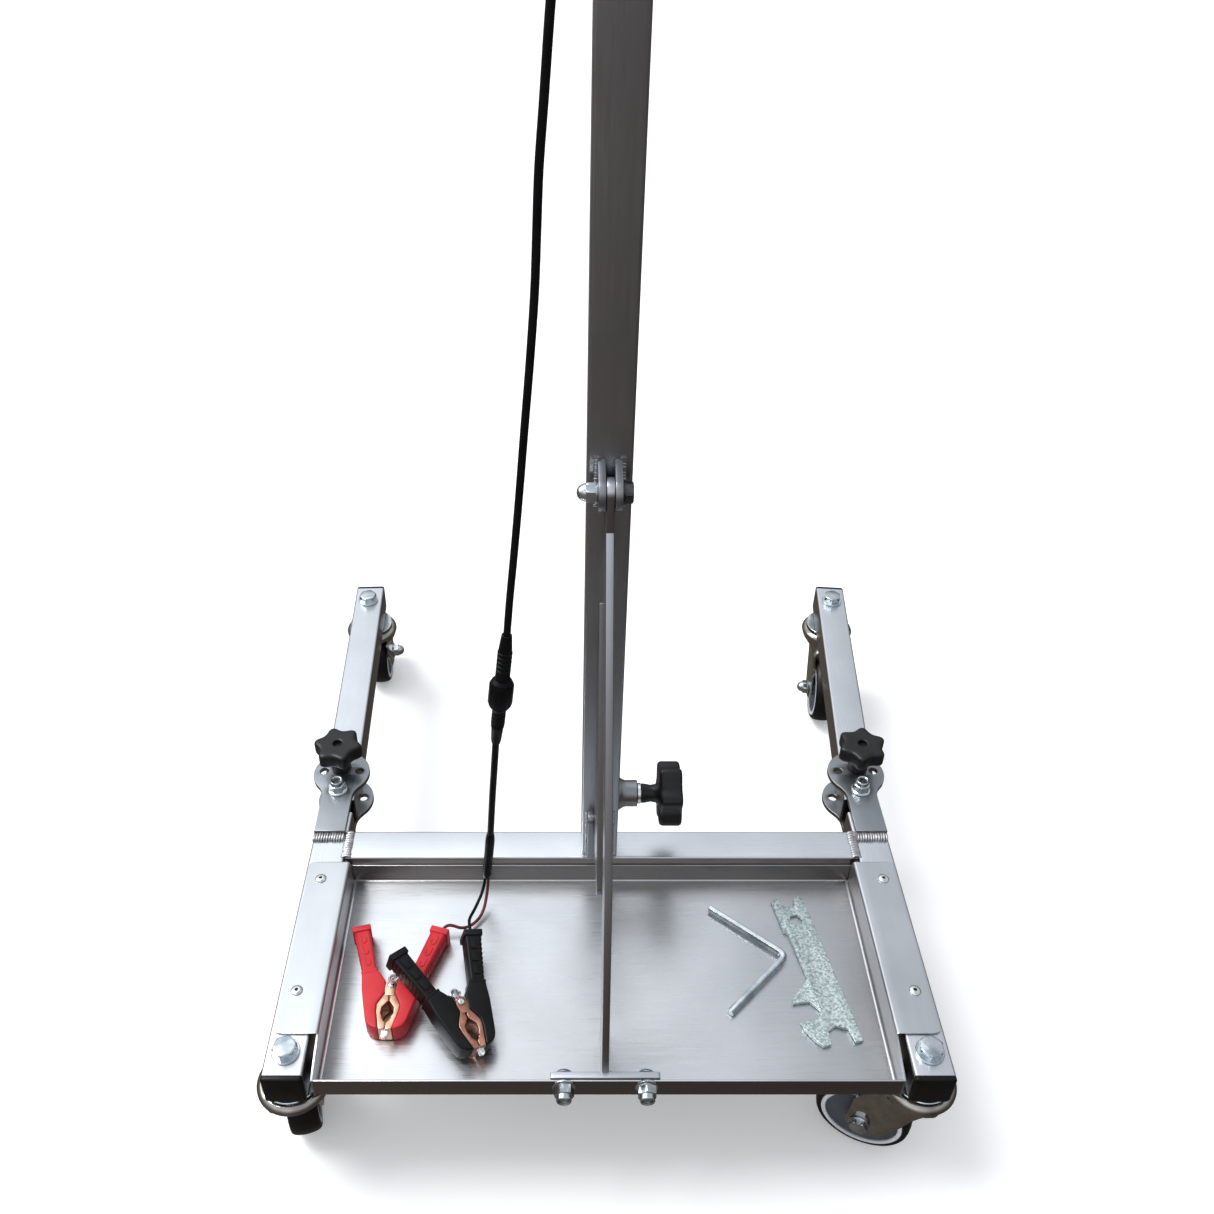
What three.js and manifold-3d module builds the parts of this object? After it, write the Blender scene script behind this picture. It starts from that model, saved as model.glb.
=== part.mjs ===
// Wheeled floor stand: a square-tube base with a tray, a braced mast, two folding rear legs on
// swivel casters, and a 12 V lead whose two clips lie in the tray beside a hex key and a spanner.
// Millimetres. X runs to the right, Y to the rear and Z up; the casters stand on Z = 0.
import * as THREE from 'three';
import { mergeVertices } from 'three/addons/utils/BufferGeometryUtils.js';
import Module from 'manifold-3d';

const wasm = await Module();
wasm.setup();

// ---- driving dimensions -------------------------------------------------------------------
const GAP = 0.3;                  // clearance between touching pieces

const TUBE = 30;                  // outside of every square tube
const WALL = 1.8;
const CORNER = 2.2;               // outer corner radius of the tubes
const TUBE_TOP = 128;             // top face of the base tubes
const TUBE_BOTTOM = TUBE_TOP - TUBE;
const SIDE_X = 235;               // centre line of a side tube
const SIDE_LENGTH = 250;
const CROSS_FRONT = 198;          // front face of the cross tube

const MAST_X = -2;
const MAST_FRONT = 199;
const MAST_TOP = 900;

const SHEET = 1.5;                // tray sheet
const TRAY_INNER_X = 213.7;
const TRAY_FLOOR = 101;           // top of the tray floor
const TRAY_RIM = 120;
const TRAY_BACK = CROSS_FRONT - GAP;
const FLANGE = { front: 32.6, back: 192, outer: 248 };

const PLATE = 4.5;                // index plates
const PIVOT_X = 236;
const PIVOT_Y = 272;
const NECK_FRONT = 224;
const LOBE = { offset: 22, radius: 25.5, neck: 13.5 };
const INDEX = { reach: 28.5, hole: 4, angle: 34 };

const LEG = { front: -8, back: 309.5, splayLeft: 2.3, splayRight: -5.4 };
const CAP_HEAD = 4;

const BOLT8 = 4;                  // M8 shank radius
const BOLT10 = 5;                 // M10 shank radius
const FIT = 0.3;                  // radial clearance of a bolt in its hole

const FRONT_CASTER_Y = 18;
const REAR_CASTER_INSET = 23;
const WHEEL = { radius: 37.5, tread: 24, rim: 31.8 };
const FLOOR = -8;                 // the floor under the wheels, in the drawing's z
const AXLE_Z = FLOOR + WHEEL.radius;
const TRAIL = 32;
const CASTER_TURN = { frontLeft: 105, frontRight: 155, rearLeft: 92, rearRight: -94 };

const BRACE = { thickness: 5.4, footWidth: 80, footTop: 121.5, boltReach: 30, boltZ: 114.5 };
const CLEVIS = { y: 185.5, z: 503, ear: 5, gap: 6 };
const GUSSET = { left: -7, thickness: 5 };
const BOSS = { y: 216, z: 189, radius: 11, length: 15.5 };

const LEG_KNOB = { radius: 19.7, lobe: 2.3, height: 15, stem: 16 };
const MAST_KNOB = { radius: 24.5, lobe: 2.8, height: 19, stem: 14 };

const CORD_RADIUS = 2.7;
const WIRE_RADIUS = 1.3;

const CLIP_HEIGHT = 17;
const CLIP_PIVOT = 5;
const SPANNER_THICKNESS = 3;
const HEX_KEY = 6;                // across flats

// ---- finishes -----------------------------------------------------------------------------
const finish = (color, roughness, metalness) => ({ color, roughness, metalness });
const FINISH = {
  tube: finish(0xc9ced2, 0.35, 0.9),
  mast: finish(0x8d9196, 0.35, 0.9),
  sheet: finish(0xd2d6da, 0.32, 0.9),
  plate: finish(0xb9bec4, 0.4, 0.9),
  zinc: finish(0xd9dde0, 0.25, 1.0),
  chrome: finish(0xc8c8c6, 0.12, 1.0),
  black: finish(0x161618, 0.45, 0.0),
  rubber: finish(0x141414, 0.7, 0.0),
  hub: finish(0x7b848c, 0.5, 0.0),
  red: finish(0xc23a3e, 0.5, 0.0),
  galvanised: finish(0xa9b7b4, 0.45, 0.8),
};

// ---- geometry helpers ---------------------------------------------------------------------
const deg = THREE.MathUtils.degToRad;

function weld(geometry) {
  const bare = geometry.clone();
  bare.deleteAttribute('normal');
  bare.deleteAttribute('uv');
  return mergeVertices(bare, 1e-3);
}

// A closed geometry as a solid that can be joined and cut.
function solid(geometry) {
  const welded = weld(geometry);
  const index = welded.index.array;
  const triangles = [];
  for (let i = 0; i < index.length; i += 3) {
    const [a, b, c] = [index[i], index[i + 1], index[i + 2]];
    if (a !== b && b !== c && a !== c) triangles.push(a, b, c);
  }
  const vertProperties = Float32Array.from(welded.attributes.position.array);
  const make = (tris) => new wasm.Manifold(
    new wasm.Mesh({ numProp: 3, vertProperties, triVerts: Uint32Array.from(tris) }));
  const made = make(triangles);
  return made.volume() < 0 ? make(triangles.reverse()) : made;
}

function toGeometry(manifold) {
  const mesh = manifold.getMesh();
  const geometry = new THREE.BufferGeometry();
  const points = new Float32Array(mesh.numVert * 3);
  for (let i = 0; i < mesh.numVert; i += 1) {
    for (let k = 0; k < 3; k += 1) points[3 * i + k] = mesh.vertProperties[i * mesh.numProp + k];
  }
  geometry.setAttribute('position', new THREE.BufferAttribute(points, 3));
  geometry.setIndex(new THREE.BufferAttribute(Uint32Array.from(mesh.triVerts), 1));
  geometry.computeVertexNormals();
  return geometry;
}

const join = (...pieces) => pieces.map(solid).reduce((a, b) => a.add(b));
const cut = (body, ...tools) => tools.map(solid).reduce((a, b) => a.subtract(b), body);

function block(low, high) {
  const size = high.map((value, k) => value - low[k]);
  const middle = high.map((value, k) => (value + low[k]) / 2);
  return new THREE.BoxGeometry(...size).translate(...middle);
}

// A round or many-sided bar standing on z = from.
function post(radius, from, to, sides = 12) {
  return new THREE.CylinderGeometry(radius, radius, to - from, sides)
    .rotateX(Math.PI / 2).translate(0, 0, (from + to) / 2);
}

const hexRadius = (acrossFlats) => acrossFlats / Math.sqrt(3);

function turned(profile, segments = 16) {
  const points = profile.map(([r, z]) => new THREE.Vector2(r, z));
  return new THREE.LatheGeometry(points, segments).rotateX(Math.PI / 2);
}

function outline(points) {
  return new THREE.Shape(points.map(([x, y]) => new THREE.Vector2(x, y)));
}

function slab(shape, thickness, curveSegments = 6) {
  return new THREE.ExtrudeGeometry(shape, { depth: thickness, bevelEnabled: false, curveSegments });
}

// A plate drawn in (y, z) and extruded along X from x to x + thickness.
function sidePlate(points, x, thickness) {
  const turn = new THREE.Matrix4().makeBasis(
    new THREE.Vector3(0, 1, 0), new THREE.Vector3(0, 0, 1), new THREE.Vector3(1, 0, 0));
  return slab(outline(points), thickness).applyMatrix4(turn).translate(x, 0, 0);
}

function arcPoints(cx, cy, radius, from, to, steps) {
  return Array.from({ length: steps + 1 }, (unused, i) => {
    const angle = deg(from + ((to - from) * i) / steps);
    return [cx + radius * Math.cos(angle), cy + radius * Math.sin(angle)];
  });
}

function roundedSquare(size, radius, steps) {
  const inner = size / 2 - radius;
  return [[1, 1, 0], [-1, 1, 90], [-1, -1, 180], [1, -1, 270]].flatMap(
    ([sx, sy, start]) => arcPoints(sx * inner, sy * inner, radius, start, start + 90, steps));
}

// A square tube along +Y from y = from to y = to, centred on the Y axis.
function squareTube(from, to) {
  const shape = outline(roundedSquare(TUBE, CORNER, 3));
  shape.holes.push(new THREE.Path(outline(roundedSquare(TUBE - 2 * WALL, 0.6, 1)).getPoints()));
  return slab(shape, to - from).rotateX(-Math.PI / 2).translate(0, from, 0);
}

function tubeAlong(points, radius, sides, steps) {
  const path = new THREE.CatmullRomCurve3(points.map((p) => new THREE.Vector3(...p)));
  const ring = outline(arcPoints(0, 0, radius, 0, 360 - 360 / sides, sides - 1));
  return new THREE.ExtrudeGeometry(ring, { steps, extrudePath: path, bevelEnabled: false });
}

// ---- placing parts ------------------------------------------------------------------------
const stand = new THREE.Group();

function part(name, shape, look, parent = stand) {
  const geometry = shape.isBufferGeometry ? toGeometry(solid(shape)) : toGeometry(shape);
  const mesh = new THREE.Mesh(geometry, new THREE.MeshStandardMaterial(look));
  mesh.name = name;
  parent.add(mesh);
  return mesh;
}

function groupAt(x, y, z, turnDegrees = 0, parent = stand) {
  const group = new THREE.Group();
  group.position.set(x, y, z);
  group.rotation.z = deg(turnDegrees);
  parent.add(group);
  return group;
}

// ---- tubes and caps -----------------------------------------------------------------------
const SIDES = [['left', -1], ['right', 1]];
const TUBE_MIDDLE = TUBE_TOP - TUBE / 2;
const CASTER_HOLE = BOLT10 + FIT;

function sideTube(side, sign) {
  const place = groupAt(sign * SIDE_X, 0, TUBE_MIDDLE);
  const hole = post(CASTER_HOLE, -TUBE, TUBE).translate(0, FRONT_CASTER_Y, 0);
  part(`side_tube_${side}`, cut(solid(squareTube(0, SIDE_LENGTH)), hole), FINISH.tube, place);
  part(`front_cap_${side}`, endCap(), FINISH.black, place);
}

// A push-in cap for a tube that starts at y = 0 and runs along +Y.
function endCap() {
  const taper = new THREE.CylinderGeometry(
    (TUBE - 3) / Math.SQRT2, TUBE / Math.SQRT2, CAP_HEAD - 2, 4, 1);
  taper.rotateY(Math.PI / 4).rotateX(Math.PI).translate(0, 1 - CAP_HEAD - GAP, 0);
  const half = TUBE / 2;
  const skirt = half - WALL - 2 * GAP;
  return join(
    taper,
    block([-half, 1.9 - CAP_HEAD - GAP, -half], [half, -GAP, half]),
    block([-skirt, -1, -skirt], [skirt, 9, skirt]));
}

function crossTube() {
  const half = SIDE_X - TUBE / 2 - GAP;
  const tube = squareTube(-half, half).rotateZ(-Math.PI / 2);
  tube.translate(0, CROSS_FRONT + TUBE / 2, TUBE_MIDDLE);
  part('cross_tube', tube, FINISH.tube);
}

// ---- tray ---------------------------------------------------------------------------------
function tray() {
  const bottom = TRAY_FLOOR - SHEET;
  const edge = TRAY_INNER_X - GAP;
  const pan = join(
    block([-edge, 0, bottom], [edge, TRAY_BACK, TRAY_FLOOR]),
    block([-edge, 0, bottom], [edge, SHEET, TRAY_RIM]),
    block([-edge, TRAY_BACK - SHEET, bottom], [edge, TRAY_BACK, TRAY_RIM]));
  const holes = SIDES.map(([, sign]) => post(BOLT8 + FIT, -9, 9).rotateX(Math.PI / 2)
    .translate(MAST_X + sign * BRACE.boltReach, 0, BRACE.boltZ));
  part('tray', cut(pan, ...holes), FINISH.sheet);
  for (const [side, sign] of SIDES) part(`tray_side_${side}`, traySide(sign), FINISH.sheet);
}

// Side wall of the tray, with the flange that rests on the side tube.
function traySide(sign) {
  const bottom = TRAY_FLOOR - SHEET;
  const flangeZ = TUBE_TOP + GAP;
  const top = flangeZ + SHEET;
  const wall = [[0, bottom], [TRAY_BACK, bottom], [TRAY_BACK, TRAY_RIM], [FLANGE.back, top],
    [FLANGE.front, top], [FLANGE.front - 2, TUBE_TOP - 1], [0, TRAY_RIM]];
  const lip = outline([
    [TRAY_INNER_X, FLANGE.front],
    ...arcPoints(FLANGE.outer - 5, FLANGE.front + 5, 5, -90, 0, 4),
    ...arcPoints(FLANGE.outer - 5, FLANGE.back - 5, 5, 0, 90, 4),
    [TRAY_INNER_X, FLANGE.back]]);
  const flange = slab(lip, SHEET);
  if (sign < 0) flange.rotateY(Math.PI).translate(0, 0, SHEET);
  return join(sidePlate(wall, sign < 0 ? -TRAY_INNER_X - SHEET : TRAY_INNER_X, SHEET),
    flange.translate(0, 0, flangeZ));
}

// ---- index plates, pivots and legs --------------------------------------------------------
function indexPlate() {
  const { offset, radius, neck } = LOBE;
  const start = -42;
  const [px, py] = [radius * Math.cos(deg(start)), offset + radius * Math.sin(deg(start))];
  const bend = py - (px - neck) / Math.tan(deg(-start));
  const shape = new THREE.Shape();
  shape.moveTo(-neck, NECK_FRONT - PIVOT_Y);
  shape.lineTo(neck, NECK_FRONT - PIVOT_Y);
  shape.lineTo(neck, bend - 7);
  shape.quadraticCurveTo(neck, bend, px, py);
  shape.absarc(0, offset, radius, deg(start), deg(180 - start), false);
  shape.quadraticCurveTo(-neck, bend, -neck, bend - 7);
  const holes = [[0, 0, BOLT8 + FIT]];
  for (const angle of [-INDEX.angle, 0, INDEX.angle]) {
    holes.push([INDEX.reach * Math.sin(deg(angle)), INDEX.reach * Math.cos(deg(angle)), INDEX.hole]);
  }
  for (const [x, y, r] of holes) {
    shape.holes.push(new THREE.Path().absarc(x, y, r, 0, Math.PI * 2, true));
  }
  return slab(shape, PLATE);
}

// Flange lock nut on the end of its bolt, standing on z = 0.
const NUT_HEIGHT = 12.5;
const nutPieces = () => [
  turned([[0, 0], [8.5, 0], [8.5, 1.6], [0, 1.6]]),
  post(hexRadius(13), 1, 8.5, 6),
  turned([[0, 7], [5.6, 7], [5.6, NUT_HEIGHT], [4.2, NUT_HEIGHT], [4.2, 11], [0, 11]], 12),
];

function pivotBolt(side, place) {
  const upper = TUBE_TOP + GAP + PLATE + GAP;
  const lower = TUBE_BOTTOM - GAP - PLATE - GAP;
  const nut = nutPieces().map((piece) => piece.translate(0, 0, upper));
  const head = post(hexRadius(13), lower - 5.5, lower, 6);
  const bolt = join(head, post(BOLT8, lower - 1, upper + 8), ...nut);
  part(`pivot_bolt_${side}`, bolt, FINISH.zinc, place);
}

function leg(side, sign) {
  const place = groupAt(sign * PIVOT_X, PIVOT_Y, 0);
  part(`index_plate_${side}_upper`, indexPlate(), FINISH.plate, place).position.z = TUBE_TOP + GAP;
  part(`index_plate_${side}_lower`, indexPlate(), FINISH.plate, place).position.z = TUBE_BOTTOM - GAP - PLATE;
  pivotBolt(side, place);

  const swing = groupAt(0, 0, 0, sign < 0 ? LEG.splayLeft : LEG.splayRight, place);
  const casterY = LEG.back - REAR_CASTER_INSET;
  const bar = cut(
    solid(squareTube(LEG.front, LEG.back)),
    post(BOLT8 + FIT, -TUBE, TUBE),
    post(INDEX.hole, 0, TUBE).translate(0, INDEX.reach, 0),
    post(CASTER_HOLE, -TUBE, TUBE).translate(0, casterY, 0));
  part(`leg_${side}`, bar, FINISH.tube, swing).position.z = TUBE_MIDDLE;

  const cap = part(`rear_cap_${side}`, endCap(), FINISH.black, swing);
  cap.position.set(0, LEG.back, TUBE_MIDDLE);
  cap.rotation.z = Math.PI;

  const knob = part(`leg_knob_${side}`, starKnob(LEG_KNOB, 10), FINISH.black, swing);
  knob.position.set(0, INDEX.reach, TUBE_TOP + PLATE + 2 * GAP);
  knob.rotation.z = deg(sign < 0 ? -10 : 24);

  caster(`rear_${side}`, groupAt(0, casterY, 0, 0, swing),
    (sign < 0 ? CASTER_TURN.rearLeft - LEG.splayLeft : CASTER_TURN.rearRight - LEG.splayRight));
}

// ---- star knobs ---------------------------------------------------------------------------
function starKnob({ radius, lobe, height, stem }, stemRadius) {
  const samples = 36;
  const ring = (shrink) => Array.from({ length: samples }, (unused, i) => {
    const angle = (i / samples) * Math.PI * 2;
    const r = radius + lobe * Math.cos(6 * angle) - shrink;
    return [r * Math.cos(angle), r * Math.sin(angle)];
  });
  const head = slab(outline(ring(0)), height - 2).translate(0, 0, stem);
  const crown = slab(outline(ring(1.4)), 3).translate(0, 0, stem + height - 3);
  const hub = turned([[0, 0], [stemRadius - 1, 0], [stemRadius, stem + 1], [0, stem + 1]]);
  return toGeometry(join(head, crown, hub));
}

// ---- casters ------------------------------------------------------------------------------
// Bolt through the tube, with the fixed race and the kingpin that the fork turns on.
function casterBolt() {
  const seat = TUBE_TOP + GAP;
  const race = TUBE_BOTTOM - GAP;
  return join(
    post(hexRadius(16), seat + 1, seat + 8.4, 6),
    turned([[0, seat], [10.5, seat], [10.5, seat + 2], [0, seat + 2]]),
    post(BOLT10, 82, seat + 1),
    turned([[0, race - 3.2], [21, race - 3.2], [23, race], [0, race]], 20),
    turned([[0, 81], [8, 81], [9, 84], [0, 84]], 12));
}

function forkShape() {
  const crown = turned([[5.5, 84.6], [25, 84.6], [27.2, 88.5], [23, 93.6], [5.5, 93.6],
    [5.5, 84.6]], 24);
  const cheek = outline([[-17, 86], [-13, 68], [6, 35],
    ...arcPoints(TRAIL, AXLE_Z, 11.5, 205, 385, 7), [27, 62], [25, 86]]);
  const turn = new THREE.Matrix4().makeBasis(
    new THREE.Vector3(1, 0, 0), new THREE.Vector3(0, 0, 1), new THREE.Vector3(0, -1, 0));
  const cheeks = [-13.6, 16].map((y) => slab(cheek, 2.4).applyMatrix4(turn).translate(0, y, 0));
  const bore = post(BOLT8 + FIT, -20, 20).rotateX(Math.PI / 2).translate(TRAIL, 0, AXLE_Z);
  return cut(join(crown, ...cheeks), bore);
}

// Hex bolt along +Y, closed by a cap nut on the -Y side.
function axleShape() {
  const face = 16 + GAP;
  const along = (geometry) => geometry.rotateX(Math.PI / 2);
  return join(
    along(post(BOLT8, -face - 1, face + 1)),
    along(post(hexRadius(13), -face - 5.5, -face, 6)),
    along(turned([[0, -face - 1], [8, -face - 1], [8, -face], [0, -face]], 12)),
    along(post(hexRadius(13), face, face + 6, 6)),
    along(turned([[0, face + 5], [6, face + 5], [5, face + 9.5], [0, face + 12]], 12)));
}

function wheelParts() {
  const half = WHEEL.tread / 2;
  const { radius, rim } = WHEEL;
  const tyre = turned([[rim, -half], [radius - 2.5, -half], [radius, -half + 4], [radius, half - 4],
    [radius - 2.5, half], [rim, half], [rim, -half]], 32);
  const core = rim - GAP;
  const bore = BOLT8 + FIT;
  const hub = turned([[bore, -half], [10, -half], [core, -half + 2], [core, half - 2], [10, half],
    [bore, half], [bore, -half]], 32);
  return { tyre, hub };
}

function caster(name, place, turn) {
  part(`caster_bolt_${name}`, casterBolt(), FINISH.zinc, place);
  const swivel = groupAt(0, 0, 0, turn, place);
  part(`fork_${name}`, forkShape(), FINISH.chrome, swivel);
  const axle = part(`axle_${name}`, axleShape(), FINISH.zinc, swivel);
  const { tyre, hub } = wheelParts();
  const spinning = [part(`tyre_${name}`, tyre, FINISH.rubber, swivel),
    part(`hub_${name}`, hub, FINISH.hub, swivel)];
  axle.position.set(TRAIL, 0, AXLE_Z);
  for (const mesh of spinning) {
    mesh.position.copy(axle.position);
    mesh.rotation.x = Math.PI / 2;
  }
}

// ---- mast, ears and its knob --------------------------------------------------------------
const mastCentreY = MAST_FRONT + TUBE / 2;
const mastRightFace = MAST_X + TUBE / 2;

function mast() {
  const seat = TUBE_TOP + GAP;
  const bar = squareTube(seat, MAST_TOP).rotateX(Math.PI / 2).translate(MAST_X, mastCentreY, 0);
  const inside = MAST_FRONT + 0.6;
  const ear = [[inside, CLEVIS.z + 25],
    ...arcPoints(CLEVIS.y, CLEVIS.z + 2, 12, 118, 242, 8), [inside, CLEVIS.z - 17]];
  const lug = [[inside, 187], ...arcPoints(MAST_FRONT - 4, 181, 6, 100, 180, 4), [MAST_FRONT - 10, 138],
    [inside, 134]];
  const earX = [MAST_X - CLEVIS.gap / 2 - CLEVIS.ear, MAST_X + CLEVIS.gap / 2];
  const lugX = [MAST_X - 10.3, MAST_X + 4.8];
  const boss = turned([[0, -1], [14, -1], [14, 0], [BOSS.radius, 4.5], [BOSS.radius, BOSS.length],
    [0, BOSS.length]], 20).rotateY(Math.PI / 2).translate(mastRightFace + GAP, BOSS.y, BOSS.z);
  const body = join(bar, boss,
    ...earX.map((x) => sidePlate(ear, x, CLEVIS.ear)),
    ...lugX.map((x) => sidePlate(lug, x, 5)));
  const pin = post(BOLT8 + FIT, -20, 20).rotateY(Math.PI / 2).translate(MAST_X, CLEVIS.y, CLEVIS.z);
  const screw = post(BOLT8 + FIT, 0, BOSS.length + 12).rotateY(Math.PI / 2)
    .translate(mastRightFace - 10, BOSS.y, BOSS.z);
  part('mast', cut(body, pin, screw), FINISH.mast);

  const cap = part('mast_cap', endCap(), FINISH.black);
  cap.position.set(MAST_X, mastCentreY, MAST_TOP);
  cap.rotation.x = -Math.PI / 2;
}

function mastKnob() {
  const sleeve = groupAt(mastRightFace + GAP, BOSS.y, BOSS.z);
  const knob = starKnob(MAST_KNOB, 8.5).translate(0, 0, BOSS.length + 3.5);
  const stud = post(BOLT8, -8, BOSS.length + 5);
  part('mast_knob', toGeometry(join(knob, stud)).rotateY(Math.PI / 2), FINISH.black, sleeve);
}

// ---- brace, gusset and their bolts --------------------------------------------------------
function brace() {
  const back = SHEET + GAP;
  const foot = back + 5;
  const bottom = TRAY_FLOOR + 0.5;
  const bar = [[foot - 1, bottom + 0.7], [foot - 1, BRACE.footTop - 1], [46, 273], [175.5, 478],
    ...arcPoints(CLEVIS.y, CLEVIS.z, 10, 180, 0, 8), [195.5, 446], [82, 266], [48, 118], [48, bottom + 0.7]];
  const half = BRACE.footWidth / 2;
  const body = join(
    sidePlate(bar, MAST_X - BRACE.thickness / 2, BRACE.thickness),
    block([MAST_X - half, back, bottom], [MAST_X + half, foot, BRACE.footTop]));
  const pin = post(BOLT8 + FIT, -20, 20).rotateY(Math.PI / 2).translate(MAST_X, CLEVIS.y, CLEVIS.z);
  const holes = SIDES.map(([, sign]) => post(BOLT8 + FIT, -20, 20).rotateX(Math.PI / 2)
    .translate(MAST_X + sign * BRACE.boltReach, 0, BRACE.boltZ));
  part('brace_plate', cut(body, pin, ...holes), FINISH.plate);

  for (const [side, sign] of SIDES) {
    const nut = nutPieces().map((piece) => piece.rotateX(Math.PI / 2).translate(0, -GAP, 0));
    const head = turned([[0, 0], [7, 0], [5.6, 3.4], [0, 4.8]], 12)
      .rotateX(-Math.PI / 2).translate(0, foot + GAP, 0);
    const shank = post(BOLT8, -8, foot + 1).rotateX(-Math.PI / 2);
    part(`foot_bolt_${side}`, join(head, shank, ...nut), FINISH.zinc,
      groupAt(MAST_X + sign * BRACE.boltReach, 0, BRACE.boltZ));
  }

  const web = [[MAST_FRONT - GAP, 404], [118, 186], [118, 179], [MAST_FRONT - GAP, 168]];
  part('gusset_plate', sidePlate(web, GUSSET.left, GUSSET.thickness), FINISH.plate);
}

function clevisBolt() {
  const reach = CLEVIS.gap / 2 + CLEVIS.ear + GAP;
  const place = groupAt(MAST_X, CLEVIS.y, CLEVIS.z);
  const along = (geometry) => geometry.rotateY(Math.PI / 2);
  const nut = (geometry) => geometry.rotateY(-Math.PI / 2).translate(-reach, 0, 0);
  const bolt = join(
    along(post(BOLT8, -reach - 9, reach + 2)),
    along(turned([[0, reach], [8, reach], [8, reach + 1.4], [0, reach + 1.4]])),
    along(post(hexRadius(13), reach + 1, reach + 6.6, 6)),
    nut(turned([[0, 0], [8, 0], [8, 1.4], [0, 1.4]])),
    nut(post(hexRadius(13), 1, 7.4, 6)),
    nut(turned([[0, 7], [6.2, 7], [5.2, 11], [0, 13.6]], 12)));
  part('clevis_bolt', bolt, FINISH.zinc, place);
}

// ---- the lead: gland, cord, in-line connector, wires --------------------------------------
// Each run's points are chosen where the cable hangs; runs meet their neighbours with a small gap.
const GLAND = { x: MAST_X - TUBE / 2, y: 210, z: 872 };
const CORD_UPPER = [[-33, 210, 843], [-34.4, 208.6, 823], [-38.6, 204, 784], [-42.5, 201.5, 738],
  [-45.7, 200, 701], [-47.3, 198.5, 668], [-48.9, 197, 635], [-52.5, 195, 590], [-56.8, 193, 544],
  [-61.5, 190.5, 493], [-66, 188.5, 448], [-69.6, 187, 414], [-72.2, 185.4, 385.5]];
const CONNECTOR_TOP = [-72.3, 185.3, 385];
const CONNECTOR_END = [-83.8, 182.2, 281.5];
const CORD_LOWER = [[-83.85, 182.15, 281], [-86.2, 181.5, 252], [-88.4, 180.9, 225], [-90.2, 180.4, 201],
  [-91.8, 180, 179.5], [-93.6, 179.4, 160], [-95.4, 178.6, 143], [-96.7, 177.6, 129]];
const WIRE_RED = [[-95.3, 177.2, 128.2], [-96, 174.6, 121], [-97.2, 168.5, 113.5], [-99.2, 160, 108.6],
  [-102.4, 153.4, 105.8], [-106.8, 148.2, 105], [-112, 144, 105.6], [-117.4, 142, 107.2],
  [-122.8, 142.5, 109], [-125.9, 142.7, 109.6], [-128.7, 141.8, 109.8], [-130.7, 139.9, 109.8],
  [-131.9, 137.4, 109.8]];
const WIRE_BLACK = [[-98.1, 177.2, 128.2], [-99, 174.4, 122.8], [-101.2, 168.6, 117.4],
  [-104.4, 161, 114.2], [-106.9, 154.2, 113.8], [-108.6, 148.6, 115.2], [-109.3, 143, 118.4],
  [-109.2, 137, 122.2], [-108.4, 131.5, 123.2], [-107.7, 127.3, 122.8]];

function gland() {
  const body = join(
    post(7, 0, 16).rotateY(-Math.PI / 2),
    new THREE.SphereGeometry(7, 12, 8).translate(-16, 0, 0),
    turned([[0, 0], [7, 0], [5.6, -12], [4.2, -28.5], [0, -28.5]], 12).translate(-16, 0, 0));
  part('cord_gland', body, FINISH.black, groupAt(GLAND.x - GAP, GLAND.y, GLAND.z));
}

function connector() {
  const from = new THREE.Vector3(...CONNECTOR_TOP);
  const to = new THREE.Vector3(...CONNECTOR_END);
  const length = from.distanceTo(to);
  const profile = [[0, 0], [3.8, 0], [4.2, 3], [5, 13], [5.5, 15], [5.5, 41], [8.2, 43], [9.2, 46],
    [9.2, 64], [8, 66.5], [5.4, 67.5], [5.3, 86], [4.6, 88], [3.8, length - 0.5], [0, length - 0.5]];
  const mesh = part('connector', turned(profile), FINISH.black);
  mesh.position.copy(from);
  mesh.quaternion.setFromUnitVectors(new THREE.Vector3(0, 0, 1), to.clone().sub(from).normalize());
}

function lead() {
  gland();
  part('cord_upper', tubeAlong(CORD_UPPER, CORD_RADIUS, 8, 28), FINISH.black);
  connector();
  part('cord_lower', tubeAlong(CORD_LOWER, CORD_RADIUS, 8, 14), FINISH.black);
  part('wire_red', tubeAlong(WIRE_RED, WIRE_RADIUS, 8, 18), FINISH.red);
  part('wire_black', tubeAlong(WIRE_BLACK, WIRE_RADIUS, 8, 16), FINISH.black);
}

// ---- battery clips ------------------------------------------------------------------------
// Half a clip seen from above: pivot at the origin, jaw tip towards -Y, handle towards +Y.
function clipHalf(sign, holdsPivot) {
  const points = [[-GAP, -37.4], [-9, -37], [-13.6, -34.4], [-16, -30], [-19.6, -16], [-22.6, -4],
    [-24.4, 8], [-40, 52.6], [-38.6, 55], [-27.4, 58], [-24.6, 56], [-12, 13], [-6.5, 6.4], [-3.2, 3.4],
    [-3.2, -7], [-GAP, -9], [-GAP, -13], [-4.7, -19], [-4.7, -24], [-1.6, -30], [-GAP, -33]];
  const half = slab(outline(points.map(([x, y]) => [-sign * x, y])), CLIP_HEIGHT);
  if (holdsPivot) return join(half, post(CLIP_PIVOT, 0, CLIP_HEIGHT, 16));
  return cut(solid(half), post(CLIP_PIVOT + 0.5, -1, CLIP_HEIGHT + 1, 16));
}

// The left half is the lever that opens; the right half holds the pivot and the wire.
function clip(color, place, look) {
  part(`clip_${color}_lever`, clipHalf(-1, false), look, place);
  part(`clip_${color}_body`, clipHalf(1, true), look, place);
}

// The black clip leans on the red one: its base plane rises to the left and to the rear.
const LEAN = { left: 0.28, rear: 0.08, turn: 28 };

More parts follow.
